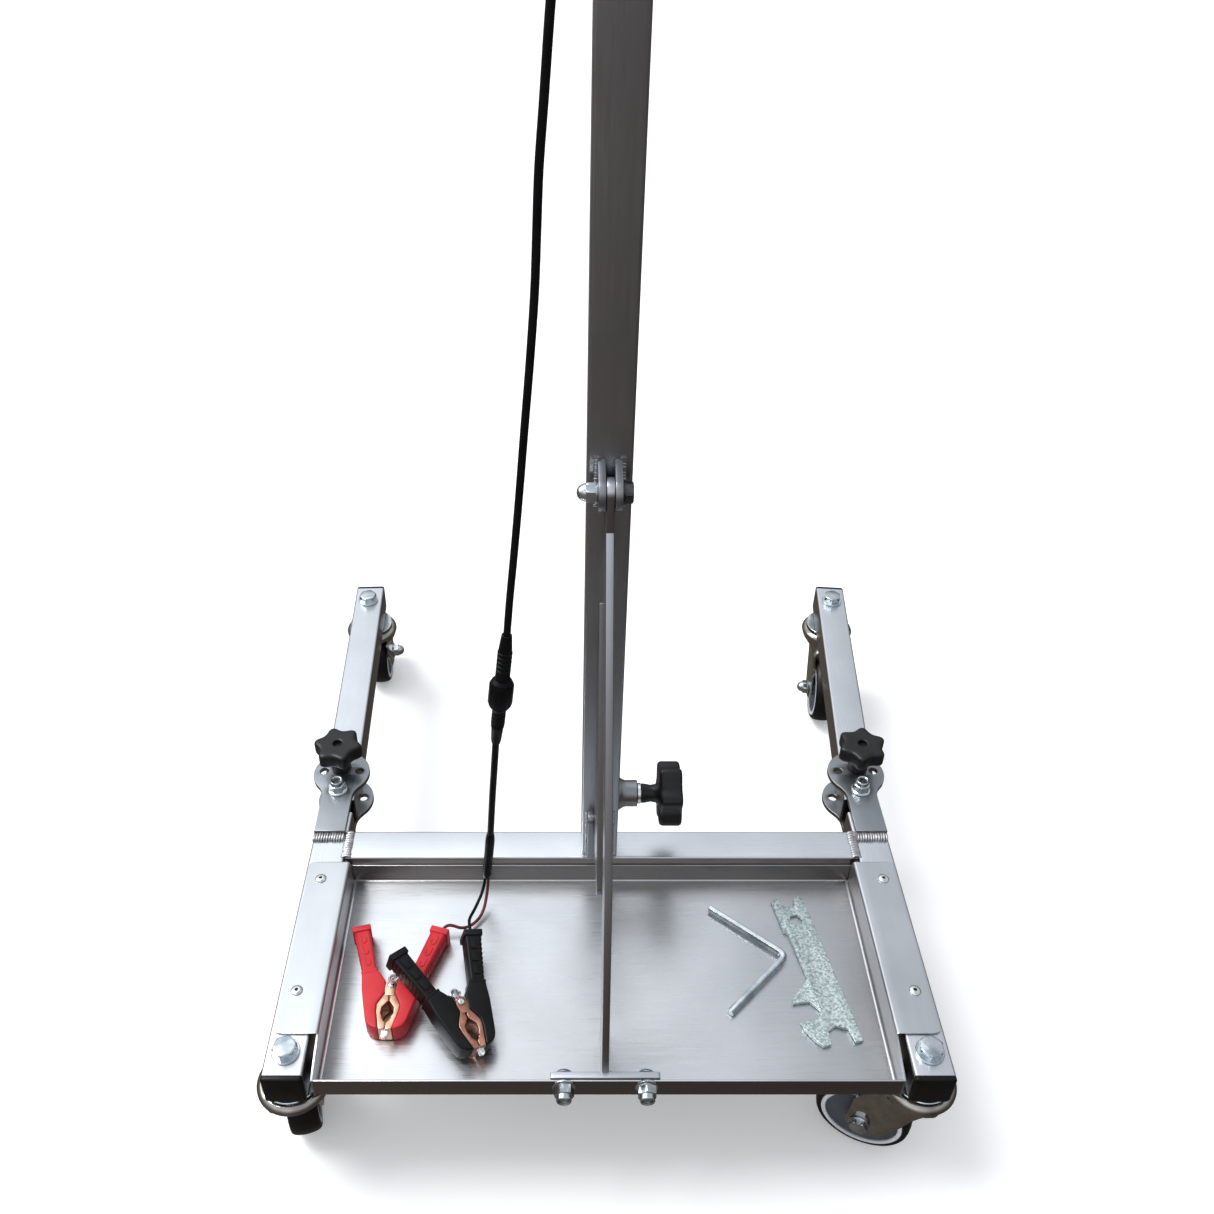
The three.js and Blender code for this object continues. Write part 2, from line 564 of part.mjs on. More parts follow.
function clips() {
  clip('red', groupAt(-166.5, 81, TRAY_FLOOR + GAP, -1.4), FINISH.red);
  const up = new THREE.Vector3(LEAN.left, -LEAN.rear, 1).normalize();
  const ahead = new THREE.Vector3(-Math.sin(deg(LEAN.turn)), Math.cos(deg(LEAN.turn)), 0);
  const right = new THREE.Vector3().crossVectors(ahead, up).normalize();
  ahead.crossVectors(up, right);
  const place = groupAt(-114.3, 62, 110.6);
  place.quaternion.setFromRotationMatrix(new THREE.Matrix4().makeBasis(right, ahead, up));
  clip('black', place, FINISH.black);
}

// ---- loose tools in the tray --------------------------------------------------------------
function hexKey() {
  const z = TRAY_FLOOR + GAP + HEX_KEY / 2;
  const path = new THREE.CurvePath();
  const corner = new THREE.Vector3(148.4, 117, z);
  const ends = [new THREE.Vector3(91, 163.5, z), new THREE.Vector3(97, 65.4, z)];
  const [into, outOf] = ends.map((end) => corner.clone().lerp(end, 8 / corner.distanceTo(end)));
  path.add(new THREE.LineCurve3(ends[0], into));
  path.add(new THREE.QuadraticBezierCurve3(into, corner, outOf));
  path.add(new THREE.LineCurve3(outOf, ends[1]));
  const section = outline(arcPoints(0, 0, hexRadius(HEX_KEY), 30, 330, 5));
  const bar = new THREE.ExtrudeGeometry(section, { steps: 24, extrudePath: path, bevelEnabled: false });
  part('hex_key', bar, FINISH.zinc);
}

// Flat multi-spanner, drawn along +X from its rear corner: prongs, hex hole, neck, open jaw, nose.
function spanner() {
  const shape = outline([
    [-5.5, 0], [27, 0.6], [79, 0], [131.5, 0], [131.5, -6.3], [120, -7.7], [115.6, -16.2],
    [119.1, -23.7], [130.1, -25], [130.3, -32], [126, -35.4], [120.1, -38.4], [114, -41], [107.2, -42],
    [107.9, -27.6], [101, -22.9], [91.9, -28.8], [91.1, -42.1], [86, -39.6], [81, -34.4],
    [76, -27.4], [71.7, -23.2], [28.7, -23.3], [26.3, -26.2], [-6.6, -26.2], [-6.6, -19.7],
    [2.6, -17.6], [3.4, -9.4], [-5.5, -6.3]]);
  const hole = arcPoints(16.7, -12.3, 5.8, 30, 330, 5);
  shape.holes.push(new THREE.Path(outline(hole).getPoints()));
  const place = groupAt(170.9, 171, TRAY_FLOOR + GAP, -79);
  part('flat_spanner', slab(shape, SPANNER_THICKNESS), FINISH.galvanised, place);
}

// ---- the whole stand ----------------------------------------------------------------------
for (const [side, sign] of SIDES) {
  sideTube(side, sign);
  leg(side, sign);
  caster(`front_${side}`, groupAt(sign * SIDE_X, FRONT_CASTER_Y, 0),
    sign < 0 ? CASTER_TURN.frontLeft : CASTER_TURN.frontRight);
}
crossTube();
tray();
mast();
mastKnob();
brace();
clevisBolt();
lead();
clips();
hexKey();
spanner();

// The origin is the centre of the stand's footprint on the floor.
const object = new THREE.Group();
object.add(stand);
stand.updateMatrixWorld(true);
const footprint = new THREE.Box3().setFromObject(stand, true);
stand.position.set(-(footprint.min.x + footprint.max.x) / 2, -(footprint.min.y + footprint.max.y) / 2, -FLOOR);

export default object;
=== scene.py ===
# Rolling lamp stand base: finishes, welds, fasteners, casters, knobs, the lead and its clips.
# Lengths are millimetres in the stand's drawing frame: x to the right from between the side tubes,
# y to the rear from the tubes' front ends, and z up, with the floor 8 below zero.
import random
from math import cos, dist, pi, radians, sin, sqrt, tan

import bmesh
import bpy
from mathutils import Matrix, Vector


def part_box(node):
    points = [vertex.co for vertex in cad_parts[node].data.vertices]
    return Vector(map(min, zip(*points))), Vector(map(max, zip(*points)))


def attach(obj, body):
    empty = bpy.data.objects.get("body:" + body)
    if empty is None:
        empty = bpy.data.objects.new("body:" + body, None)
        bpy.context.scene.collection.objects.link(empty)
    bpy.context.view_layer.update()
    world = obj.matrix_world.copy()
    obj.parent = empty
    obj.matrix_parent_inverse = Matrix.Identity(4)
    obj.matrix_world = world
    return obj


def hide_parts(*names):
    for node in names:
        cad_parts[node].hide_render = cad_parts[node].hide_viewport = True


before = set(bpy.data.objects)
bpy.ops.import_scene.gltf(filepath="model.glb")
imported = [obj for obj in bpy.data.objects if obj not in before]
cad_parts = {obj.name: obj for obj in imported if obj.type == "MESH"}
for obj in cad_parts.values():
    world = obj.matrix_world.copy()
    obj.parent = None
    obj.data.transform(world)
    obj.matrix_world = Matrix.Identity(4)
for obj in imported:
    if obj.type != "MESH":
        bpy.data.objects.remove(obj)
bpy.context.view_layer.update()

# ---- frame
tray_low, tray_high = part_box("tray")
MM = 0.001
TRAY_BOTTOM = 99.5
TO_ROW = Matrix.Translation(((tray_low.x + tray_high.x) / 2, tray_low.y, tray_low.z - TRAY_BOTTOM
    * MM)) @ Matrix.Scale(MM, 4)

GAP = 0.3
TUBE, WALL, CORNER = 30, 1.8, 2.2
TUBE_TOP, TUBE_BOTTOM, TUBE_MIDDLE = 128, 98, 113
SIDE_X, SIDE_LENGTH = 235, 250
CROSS_FRONT = 198
MAST_X, MAST_FRONT, MAST_TOP = -2, 199, 900
SHEET = 1.5
TRAY_X, TRAY_FLOOR, TRAY_RIM, TRAY_BACK = 213.7, 101, 120, 197.7
FLANGE_FRONT, FLANGE_BACK, FLANGE_OUTER = 32.6, 192, 248
PLATE = 4.5
PIVOT_X, PIVOT_Y, NECK_FRONT = 236, 272, 224
LEG_FRONT, LEG_BACK = -8, 309.5
SPLAY = {"left": 2.3, "right": -5.4}
KNOB_REACH = 28.5
CASTER_Y_FRONT, CASTER_Y_REAR = 18, 286.5
CASTER_TURN = {"front_left": 105, "front_right": 155, "rear_left": 92, "rear_right": -94}
TRAIL, AXLE_Z = 32, 29.5
CLEVIS_Y, CLEVIS_Z = 185.5, 503
M8_FLATS, M10_FLATS = 13, 16
M8_HOLE = 4.2
CLAMP_Y, CLAMP_Z = 216, 189         # axis of the mast's clamp knob
FOOT_BOLT_X, FOOT_BOLT_Z = 30, 114.5
GLAND_Y, GLAND_Z = 210, 872
SIDES = (("left", -1), ("right", 1))

X_UP = Matrix.Rotation(pi / 2, 4, "Y")         # +Z to +X
MINUS_X_UP = Matrix.Rotation(-pi / 2, 4, "Y")  # +Z to -X
Y_UP = Matrix.Rotation(-pi / 2, 4, "X")        # +Z to +Y
MINUS_Y_UP = Matrix.Rotation(pi / 2, 4, "X")   # +Z to -Y
DOWN = Matrix.Rotation(pi, 4, "X")             # +Z to -Z
SIDE_VIEW = Matrix(((0, 0, 1, 0), (1, 0, 0, 0), (0, 1, 0, 0), (0, 0, 0, 1)))  # (y, z) drawing


def at(x, y, z, turn=0.0):
    return Matrix.Translation((x, y, z)) @ Matrix.Rotation(radians(turn), 4, "Z")


def put(name, data):
    """A new object in the scene."""
    made = bpy.data.objects.new(name, data)
    bpy.context.scene.collection.objects.link(made)
    return made


def node(tree, kind, inputs):
    """A new shader node; inputs gives each input's value, or the socket that feeds it."""
    made = tree.nodes.new("ShaderNode" + kind)
    for name, value in inputs.items():
        if isinstance(value, bpy.types.NodeSocket):
            tree.links.new(value, made.inputs[name])
        else:
            made.inputs[name].default_value = value
    return made


# ---- camera
camera_data = bpy.data.cameras.new("camera")
camera = put("camera", camera_data)
bpy.context.scene.camera = camera
camera_data.sensor_width = 36
camera_data.lens = 33.85
camera_data.shift_x = 0.0354
camera_data.shift_y = 0.0005
camera.location = TO_ROW @ Vector((-31.9, -439.6, 896.3))
camera.rotation_euler = (radians(90 - 37.94), 0, 0)


# ---- materials
def rgb(tone):
    """A colour from three numbers, or a grey from one."""
    return tuple(tone) if isinstance(tone, tuple) else (tone, tone, tone)


class Look:
    """A procedural material put together from noise, colour and bump nodes."""

    def __init__(self, name, color, roughness, metallic=0.0):
        self.material = bpy.data.materials.new(name)
        self.material.use_nodes = True
        self.material.diffuse_color = (*rgb(color), 1)
        self.tree = self.material.node_tree
        self.shader = self.tree.nodes["Principled BSDF"].inputs
        self.shader["Base Color"].default_value = (*rgb(color), 1)
        self.shader["Roughness"].default_value = roughness
        self.shader["Metallic"].default_value = metallic
        self.place = self.node("TexCoord").outputs
        self.height = None

    def node(self, kind, **inputs):
        return node(self.tree, kind, inputs)

    def feed(self, source, name):
        self.tree.links.new(source, self.shader[name])

    def noise(self, scale, stretch=(1, 1, 1), detail=3.0):
        mapping = self.node("Mapping", Scale=stretch, Vector=self.place["Object"])
        texture = self.node("TexNoise", Scale=scale, Detail=detail, Vector=mapping.outputs[0])
        return texture.outputs["Fac"]

    def cells(self, scale):
        mapping = self.node("Mapping", Vector=self.place["Object"])
        return self.node("TexVoronoi", Scale=scale, Vector=mapping.outputs[0]).outputs["Color"]

    def spread(self, source, low, high, start=0.3, stop=0.7):
        limits = {"From Min": start, "From Max": stop, "To Min": low, "To Max": high}
        return self.node("MapRange", **limits, Value=source).outputs["Result"]

    def color(self, source, dark, light, start=0.3, stop=0.7):
        ramp = self.node("ValToRGB", Fac=source)
        for end, where, tone in zip(ramp.color_ramp.elements, (start, stop), (dark, light)):
            end.position = where
            end.color = (*rgb(tone), 1)
        self.feed(ramp.outputs["Color"], "Base Color")

    def sides(self, tone, full):
        """Painted shade: faces that look sideways take the darker tone given, those past the level
        full don't.
        """
        split = self.node("SeparateXYZ", Vector=self.place["Normal"])
        level = self.node("Math")
        level.operation = "ABSOLUTE"
        self.tree.links.new(split.outputs["Z"], level.inputs[0])
        mix = self.node("Mix")
        mix.data_type = "RGBA"
        self.tree.links.new(self.spread(level.outputs[0], 0, 1, full * 0.35, full), mix.inputs[0])
        mix.inputs[6].default_value = (*tone, 1)
        self.tree.links.new(self.shader["Base Color"].links[0].from_socket, mix.inputs[7])
        self.feed(mix.outputs[2], "Base Color")

    def rough(self, source, low, high):
        self.feed(self.spread(source, low, high), "Roughness")

    def bump(self, source, depth_mm, strength=1.0):
        bump = self.node("Bump", Strength=strength, Distance=depth_mm * MM, Height=source)
        if self.height:
            self.tree.links.new(self.height, bump.inputs["Normal"])
        self.height = bump.outputs["Normal"]
        self.feed(self.height, "Normal")


def brushed(name, dark, light, roughness, along, lines=1.0, side=None, full=0.85):
    """Satin steel with fine lines along x, y or z; a side tone, when given, is painted shade on
    faces that look sideways.
    """
    stretch = [1.0, 1.0, 1.0]
    stretch["xyz".index(along)] = 0.012
    look = Look(name, light, roughness, 1.0)
    fine = look.noise(2600, stretch, 2)
    broad = look.noise(14)
    look.color(broad, dark, light, 0.25, 0.75)
    # painted shade: sideways faces take the side tone
    if side:
        look.sides(side, full)
    look.rough(fine, roughness - 0.05, roughness + 0.09)
    look.bump(fine, 0.012 * lines)
    look.bump(look.noise(60), 0.05, 0.5)
    return look.material


def moulded(name, dark, light, roughness, grain=0.05, scale=1500, gloss=0.5):
    look = Look(name, light, roughness)
    fine = look.noise(scale, detail=2)
    look.color(look.noise(45), dark, light)
    look.rough(fine, roughness - 0.06, roughness + 0.08)
    look.bump(fine, grain)
    look.shader["Specular IOR Level"].default_value = gloss
    return look.material


def plated(name, dark, light, roughness, wave=0.03):
    look = Look(name, light, roughness, 1.0)
    look.color(look.noise(110), dark, light)
    look.rough(look.noise(500), max(0.03, roughness - 0.05), roughness + 0.07)
    look.bump(look.noise(260), wave, 0.6)
    return look.material


# Painted shade: the dark brown tone that the sideways faces of the tube steel and the plate steel
# take.
PAINTED_SIDE_SHADE = (0.25, 0.23, 0.21)
STEEL = {axis: brushed(f"tube_{axis}", (0.64, 0.67, 0.71), (0.75, 0.78, 0.82), 0.30, axis,
    side=PAINTED_SIDE_SHADE) for axis in "xy"}
# The mast steel is darker than the tube steel: painted shade for its upright faces.
SHADED_MAST_STEEL = brushed("mast_steel_painted_shade", (0.36, 0.37, 0.39), (0.44, 0.45, 0.47), 0.34, "z")
# Darker still for the clevis ears and lugs: painted shade between the mast and the brace.
SHADED_EAR_STEEL = brushed("ear_steel_painted_shade", (0.24, 0.25, 0.27), (0.33, 0.34, 0.36), 0.36, "z")
# The brace steel's side tone is painted shade on its sideways faces, which darkens the lower part
# of the bar.
BRACE_STEEL = brushed("brace_steel", (0.50, 0.52, 0.57), (0.58, 0.60, 0.65), 0.32, "z",
    side=(0.28, 0.275, 0.28), full=0.52)
# The plate steel is darker throughout: painted shade under the knobs; its sideways faces take
# painted shade too.
SHADED_PLATE_STEEL = brushed("plate_steel_painted_shade", (0.24, 0.255, 0.27), (0.38, 0.405, 0.43), 0.33, "y",
    side=PAINTED_SIDE_SHADE)
# The tray pan's side tone is painted shade on its upright walls.
SHEET_STEEL = brushed("sheet_steel", (0.58, 0.60, 0.62), (0.68, 0.70, 0.72), 0.31, "x", 1.6,
    (0.24, 0.22, 0.21))
# The tray wings' side tone is painted shade on their upright walls.
FLANGE_STEEL = brushed("flange_steel", (0.52, 0.545, 0.57), (0.63, 0.655, 0.68), 0.33, "y", 1.2,
    (0.44, 0.43, 0.43))
ZINC = plated("zinc", (0.42, 0.49, 0.54), (0.74, 0.78, 0.81), 0.15)
# The chrome's dark warm tone is a painted reflection of dark brown surroundings.
PAINTED_REFLECTION_CHROME = plated("chrome", (0.33, 0.31, 0.285), (0.46, 0.44, 0.41), 0.08, 0.05)
POLISHED = plated("polished", (0.70, 0.71, 0.73), (0.84, 0.85, 0.86), 0.14)
COPPER = {"red": plated("copper", (0.60, 0.33, 0.22), (0.84, 0.55, 0.41), 0.30, 0.06),
    "black": plated("dark_copper", (0.34, 0.15, 0.10), (0.62, 0.33, 0.24), 0.32, 0.06)}
PLASTIC = moulded("cap_plastic", 0.002, 0.005, 0.34, 0.03, gloss=0.2)
KNOB = moulded("knob_plastic", 0.004, (0.009, 0.009, 0.010), 0.36, 0.03, 1200, 0.42)
RUBBER = moulded("tyre_rubber", 0.002, 0.005, 0.36, 0.04, 900, 0.3)
PALE_RING = moulded("rim_plastic", (0.50, 0.52, 0.55), (0.62, 0.64, 0.67), 0.4, 0.02)
DISC = moulded("disc_plastic", (0.045, 0.058, 0.070), (0.07, 0.085, 0.10), 0.42, 0.03)
SHEATH = moulded("cable_sheath", 0.002, (0.005, 0.005, 0.006), 0.36, 0.02, 1800, 0.12)
RED_SHEATH = moulded("red_sheath", (0.09, 0.004, 0.008), (0.16, 0.008, 0.014), 0.36, 0.02, 1800)
RED_GRIP = moulded("red_grip", (0.50, 0.016, 0.024), (0.62, 0.026, 0.036), 0.44, 0.05, 1400, 0.35)
BLACK_GRIP = moulded("black_grip", 0.003, (0.007, 0.007, 0.008), 0.40, 0.05, 1400, 0.2)
# A dark metal tone for the clevis bolt head.
DARK_HEAD_METAL = plated("dark_head_metal", 0.05, (0.12, 0.12, 0.13), 0.24)
# Painted shade: a near-black fill that stands in for the shade in the rivets' bores.
BORE_SHADE = moulded("bore_painted_shade", 0.002, 0.004, 0.8)


def weld_look():
    look = Look("weld", (0.5, 0.51, 0.53), 0.34, 1.0)
    look.color(look.noise(260), (0.30, 0.29, 0.29), (0.56, 0.57, 0.60))
    look.rough(look.noise(900), 0.26, 0.5)
    look.bump(look.noise(1200), 0.15)
    return look.material


def spangle_look():
    look = Look("spangle", (0.5, 0.56, 0.55), 0.42, 0.6)
    single = look.node("SeparateColor", Color=look.cells(780))
    look.color(single.outputs[0], (0.28, 0.35, 0.345), (0.70, 0.78, 0.775), 0.05, 0.95)
    look.rough(single.outputs[1], 0.3, 0.55)
    look.bump(single.outputs[2], 0.05, 0.5)
    return look.material


WELD = weld_look()
SPANGLE = spangle_look()


# ---- shape helpers
def level_ring(z, count, radius_of):
    """A ring at height z about the origin, with a radius for each angle."""
    angles = [2 * pi * i / count for i in range(count)]
    return [(radius_of(a) * cos(a), radius_of(a) * sin(a), z) for a in angles]


class Shape:
    """Points and faces gathered from simple forms, in millimetres."""

    def __init__(self):
        self.points, self.faces = [], []

    def add(self, points, faces, place=None):
        start = len(self.points)
        place = place or Matrix()
        self.points += [place @ Vector(p) for p in points]
        self.faces += [[start + i for i in face] for face in faces]
        return self

    def loft(self, rings, place=None, closed=False):
        """A skin through rings of equal length; closed joins the last ring to the first."""
        n = len(rings[0])
        points = [p for ring in rings for p in ring]
        count = len(rings)
        faces = []
        for k in range(count if closed else count - 1):
            a, b = k * n, ((k + 1) % count) * n
            faces += [[a + i, a + (i + 1) % n, b + (i + 1) % n, b + i] for i in range(n)]
        if not closed:
            faces.append(list(range(n))[::-1])
            faces.append(list(range((count - 1) * n, count * n)))
        return self.add(points, faces, place)

    def turned(self, profile, place, segments, radius_of=None):
        """A form turned about z from (radius, z); radius_of may reshape each ring by its angle."""
        closed = profile[0] == profile[-1] and len(profile) > 2
        rings = [level_ring(z, segments, lambda angle: radius_of(angle, r) if radius_of else r)
            for r, z in (profile[:-1] if closed else profile)]
        return self.loft(rings, place, closed)

    def hexagon(self, flats, low, high, place, chamfer=0.9):
        """A hexagonal nut or bolt head, eased at its upper end."""
        corner = flats / sqrt(3)

        def radius_of(angle, limit):
            return min(flats / 2 / cos(angle % (pi / 3) - pi / 6), limit)

        self.turned([(corner, low), (corner, high - chamfer), (flats * 0.53, high - 0.35 * chamfer),
            (flats * 0.475, high)], place, 48, radius_of)

    def sweep(self, path, section, place, scale_of=None):
        """A section carried along a path without twist; scale_of(i) scales it at point i."""
        path = [Vector(p) for p in path]
        ahead = [(path[min(i + 1, len(path) - 1)] - path[max(i - 1, 0)]).normalized()
            for i in range(len(path))]
        side = ahead[0].orthogonal().normalized()
        rings = []
        for i, point in enumerate(path):
            side = (side - ahead[i] * side.dot(ahead[i])).normalized()
            over = ahead[i].cross(side)
            k = scale_of(i) if scale_of else 1
            rings.append([point + k * (x * side + y * over) for x, y in section])
        return self.loft(rings, place)

    def plate(self, outlines, thickness, place, edge, steps=2):
        """A flat plate from z = 0 up, with eased edges; outlines after the first are holes."""
        curve = bpy.data.curves.new("plate", "CURVE")
        curve.dimensions = "2D"
        curve.fill_mode = "BOTH"
        curve.extrude = thickness / 2 - edge
        curve.bevel_depth = edge
        curve.bevel_resolution = steps
        curve.offset = -edge
        for outline in outlines:
            spline = curve.splines.new("POLY")
            spline.points.add(len(outline) - 1)
            for point, (x, y) in zip(spline.points, outline):
                point.co = (x, y, 0, 1)
            spline.use_cyclic_u = True
        holder = bpy.data.objects.new("plate", curve)
        mesh = bpy.data.meshes.new_from_object(holder)
        points = [v.co + Vector((0, 0, thickness / 2)) for v in mesh.vertices]
        faces = [list(p.vertices) for p in mesh.polygons]
        bpy.data.objects.remove(holder)
        bpy.data.curves.remove(curve)
        bpy.data.meshes.remove(mesh)
        return self.add(points, faces, place)


def emit(name, shape, look, slot, *replaced, body="base", sharp=36):
    """Turn a shape into a piece of the scene that rides on a body and replaces CAD nodes."""
    mesh = bpy.data.meshes.new(name)
    mesh.from_pydata([tuple(p) for p in shape.points], [], shape.faces)
    work = bmesh.new()
    work.from_mesh(mesh)
    bmesh.ops.remove_doubles(work, verts=work.verts, dist=0.004)
    bmesh.ops.recalc_face_normals(work, faces=work.faces)
    work.to_mesh(mesh)
    work.free()
    mesh.transform(TO_ROW)
    mesh.materials.append(look)
    mesh.shade_smooth()
    mesh.set_sharp_from_angle(angle=radians(sharp))
    piece = put(name, mesh)
    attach(piece, body)
    if replaced:
        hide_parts(*replaced)
    return piece


def arc(cx, cy, radius, start, stop, steps):
    return [(cx + radius * cos(radians(start + (stop - start) * i / steps)), cy + radius
        * sin(radians(start + (stop - start) * i / steps))) for i in range(steps + 1)]


def circle(cx, cy, radius, steps=28):
    return arc(cx, cy, radius, 0, 360 - 360 / steps, steps - 1)


def rounded_square(size, radius):
    inner = size / 2 - radius
    return [p for sx, sy, start in ((1, 1, 0), (-1, 1, 90), (-1, -1, 180), (1, -1, 270))
        for p in arc(sx * inner, sy * inner, radius, start, start + 90, 6)]


def square_skin(rings, place, y_of=lambda y: y, closed=False):
    """A skin through rounded squares across y, each given as size, corner radius and y."""
    return Shape().loft([[(x, y_of(y), z) for x, z in rounded_square(size, r)] for size, r,
        y in rings], place, closed)


def pulled(start, corner, stop, steps):
    """Points from start to stop on the curve that a corner pulls."""
    return [start * (1 - t) ** 2 + corner * 2 * t * (1 - t) + stop * t * t for t in (k / steps
        for k in range(steps + 1))]


def rounded(points, radius, steps=4):
    """A polygon with each corner rounded, by less where its sides are short."""
    out = []
    for i, here in enumerate(points):
        p, a, b = Vector(here), Vector(points[i - 1]), Vector(points[(i + 1) % len(points)])
        r = min(radius, (a - p).length * 0.45, (b - p).length * 0.45)
        start, stop = p + (a - p).normalized() * r, p + (b - p).normalized() * r
        out += [tuple(q) for q in pulled(start, p, stop, steps)]
    return out


def smooth_path(points):
    """A centripetal spline through the points."""
    pts = [Vector(p) for p in points]
    pts = [2 * pts[0] - pts[1]] + pts + [2 * pts[-1] - pts[-2]]
    out = []
    for i in range(1, len(pts) - 2):
        p0, p1, p2, p3 = pts[i - 1:i + 3]
        t0 = 0.0
        t1 = t0 + max((p1 - p0).length ** 0.5, 1e-6)
        t2 = t1 + max((p2 - p1).length ** 0.5, 1e-6)
        t3 = t2 + max((p3 - p2).length ** 0.5, 1e-6)
        for k in range(SPAN_STEPS):
            t = t1 + (t2 - t1) * k / SPAN_STEPS

            def mix(a, b, ta, tb):
                return a * ((tb - t) / (tb - ta)) + b * ((t - ta) / (tb - ta))

            a1, a2, a3 = mix(p0, p1, t0, t1), mix(p1, p2, t1, t2), mix(p2, p3, t2, t3)
            out.append(mix(mix(a1, a2, t0, t2), mix(a2, a3, t1, t3), t1, t2))
    return out + [pts[-2]]


# ---- the lead
CORD_UPPER = [(-33, 210, 843), (-34.4, 208.6, 823), (-38.6, 204, 784), (-42.5, 201.5, 738),
    (-45.7, 200, 701), (-47.3, 198.5, 668), (-48.9, 197, 635), (-52.5, 195, 590), (-56.8, 193, 544),
    (-61.5, 190.5, 493), (-66, 188.5, 448), (-69.6, 187, 414), (-72.2, 185.4, 385.5)]
CONNECTOR_TOP, CONNECTOR_END = Vector((-72.3, 185.3, 385)), Vector((-83.8, 182.2, 281.5))
CORD_LOWER = [(-83.85, 182.15, 281), (-86.2, 181.5, 252), (-88.4, 180.9, 225), (-90.2, 180.4, 201),
    (-91.8, 180, 179.5), (-93.6, 179.4, 160), (-95.4, 178.6, 143), (-96.7, 177.6, 129)]
WIRE_RED = [(-95.3, 177.2, 128.2), (-96, 174.6, 121), (-97.2, 168.5, 113.5), (-99.2, 160, 108.6),
    (-102.4, 153.4, 105.8), (-106.8, 148.2, 105), (-112, 144, 105.6), (-117.4, 142, 107.2),
    (-122.8, 142.5, 109), (-125.9, 142.7, 109.6), (-128.7, 141.8, 109.8), (-130.7, 139.9, 109.8),
    (-131.9, 137.4, 109.8)]
WIRE_BLACK = [(-98.1, 177.2, 128.2), (-99, 174.4, 122.8), (-101.2, 168.6, 117.4), (-104.4, 161,
    114.2), (-106.9, 154.2, 113.8), (-108.6, 148.6, 115.2), (-109.3, 143, 118.4), (-109.2, 137,
    122.2), (-108.4, 131.5, 123.2), (-107.7, 127.3, 122.8)]
CORD_DIAMETER, WIRE_DIAMETER = 5.4, 2.6
SPAN_STEPS = 6   # points that a spline makes from each of the points above
SLEEVE_FROM = 4  # the point of the lower cord where its heat-shrink sleeve starts


def cord(name, points, diameter, look, node):
    data = bpy.data.curves.new(name, "CURVE")
    data.dimensions = "3D"
    data.bevel_depth = diameter / 2 * MM
    data.bevel_resolution = 5
    data.use_fill_caps = True
    path = [TO_ROW @ p for p in smooth_path(points)]
    spline = data.splines.new("POLY")
    spline.points.add(len(path) - 1)
    for point, place in zip(spline.points, path):
        point.co = (*place, 1)
    spline.use_smooth = True
    data.materials.append(look)
    piece = put(name, data)
    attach(piece, "base")
    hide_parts(node)
    return piece


def frame_along(start, stop):
    return Matrix.Translation(start) @ (stop - start).to_track_quat("Z", "Y").to_matrix().to_4x4()


def ribs(low, high, pitch, core, crest, width):
    """Profile points of a row of ribs from low to high."""
    points = []
    while low < high:
        points += [(core, low), (crest, low + 0.6), (crest, low + width - 0.6), (core, low + width)]
        low += pitch
    return points


def connector():
    """Two ribbed boots, and a coupling nut with grip flats between them."""
    length = (CONNECTOR_END - CONNECTOR_TOP).length - 0.5
    body = [(0, 0), (3.3, 0), (3.8, 0.5), (4.1, 3), (4.9, 12.5), (4.9, 15)]
    body += ribs(15, 33, 4, 4.7, 5.5, 2.8)
    body += [(5.5, 35), (5.5, 41), (7.9, 43.2), (8.0, 45)]
    tail = [(8.0, 64.6), (7.9, 66.2), (5.4, 67.4), (5.4, 70)] + ribs(71, 84, 3.6, 4.7, 5.3, 2.6)
    tail += [(5.2, 86.5), (4.6, 88.5), (3.9, length - 3), (3.4, length), (0, length)]
    place = frame_along(CONNECTOR_TOP, CONNECTOR_END)
    shape = Shape().turned(body + tail, place, 36)
    nut = [(7.6, 45), (9.0, 45.6), (9.2, 46.6), (9.2, 63), (9.0, 64), (7.6, 64.6)]
    shape.turned(nut, place, 72, lambda a, r: r - 0.35 * (0.5 + 0.5 * cos(12 * a)) if r > 8 else r)
    shape.turned([(8.2, 44.2), (9.2, 46.2), (9.2, 48.2), (8.2, 48.6)], place, 48)
    return emit("connector_body", shape, SHEATH, "cable", "connector")


def sleeve():
    path = smooth_path(CORD_LOWER[SLEEVE_FROM:])
    count = len(path) - 1

    def radius(i):
        t = i / count
        end = min(t, 1 - t) * count
        return 3.05 + 0.75 * min(1, end / 1.5) + 0.06 * sin(9 * t)

    return emit("heat_sleeve", Shape().sweep(path, circle(0, 0, 1, 24), None, radius), SHEATH,
        "cable")


def gland():
    place = at(MAST_X - TUBE / 2 - GAP, GLAND_Y, GLAND_Z)
    shape = Shape().turned([(0, 0), (7, 0), (7, 2.2), (5.8, 2.8), (5.8, 9), (6.9, 10), (7, 15)],
        place @ MINUS_X_UP, 32)
    ball = [(0.01, 7)] + [(7 * sin(radians(t)), 7 * cos(radians(t))) for t in range(15, 180,
        15)] + [(0.01, -7)]
    shape.turned(ball, place @ at(-16, 0, 0), 32)
    relief = [(6.9, 0), (6.6, -4)]
    for z in range(-5, -24, -3):
        wide = 6.3 + 0.1 * z
        relief += [(wide, z), (wide - 0.9, z - 0.5), (wide - 0.9, z - 1.5), (wide - 0.1, z - 2)]
    relief += [(3.9, -26), (3.2, -28.5), (0, -28.5)]
    shape.turned(relief, place @ at(-16, 0, 0), 32)
    emit("cord_gland_body", shape, PLASTIC, "cable", "cord_gland")


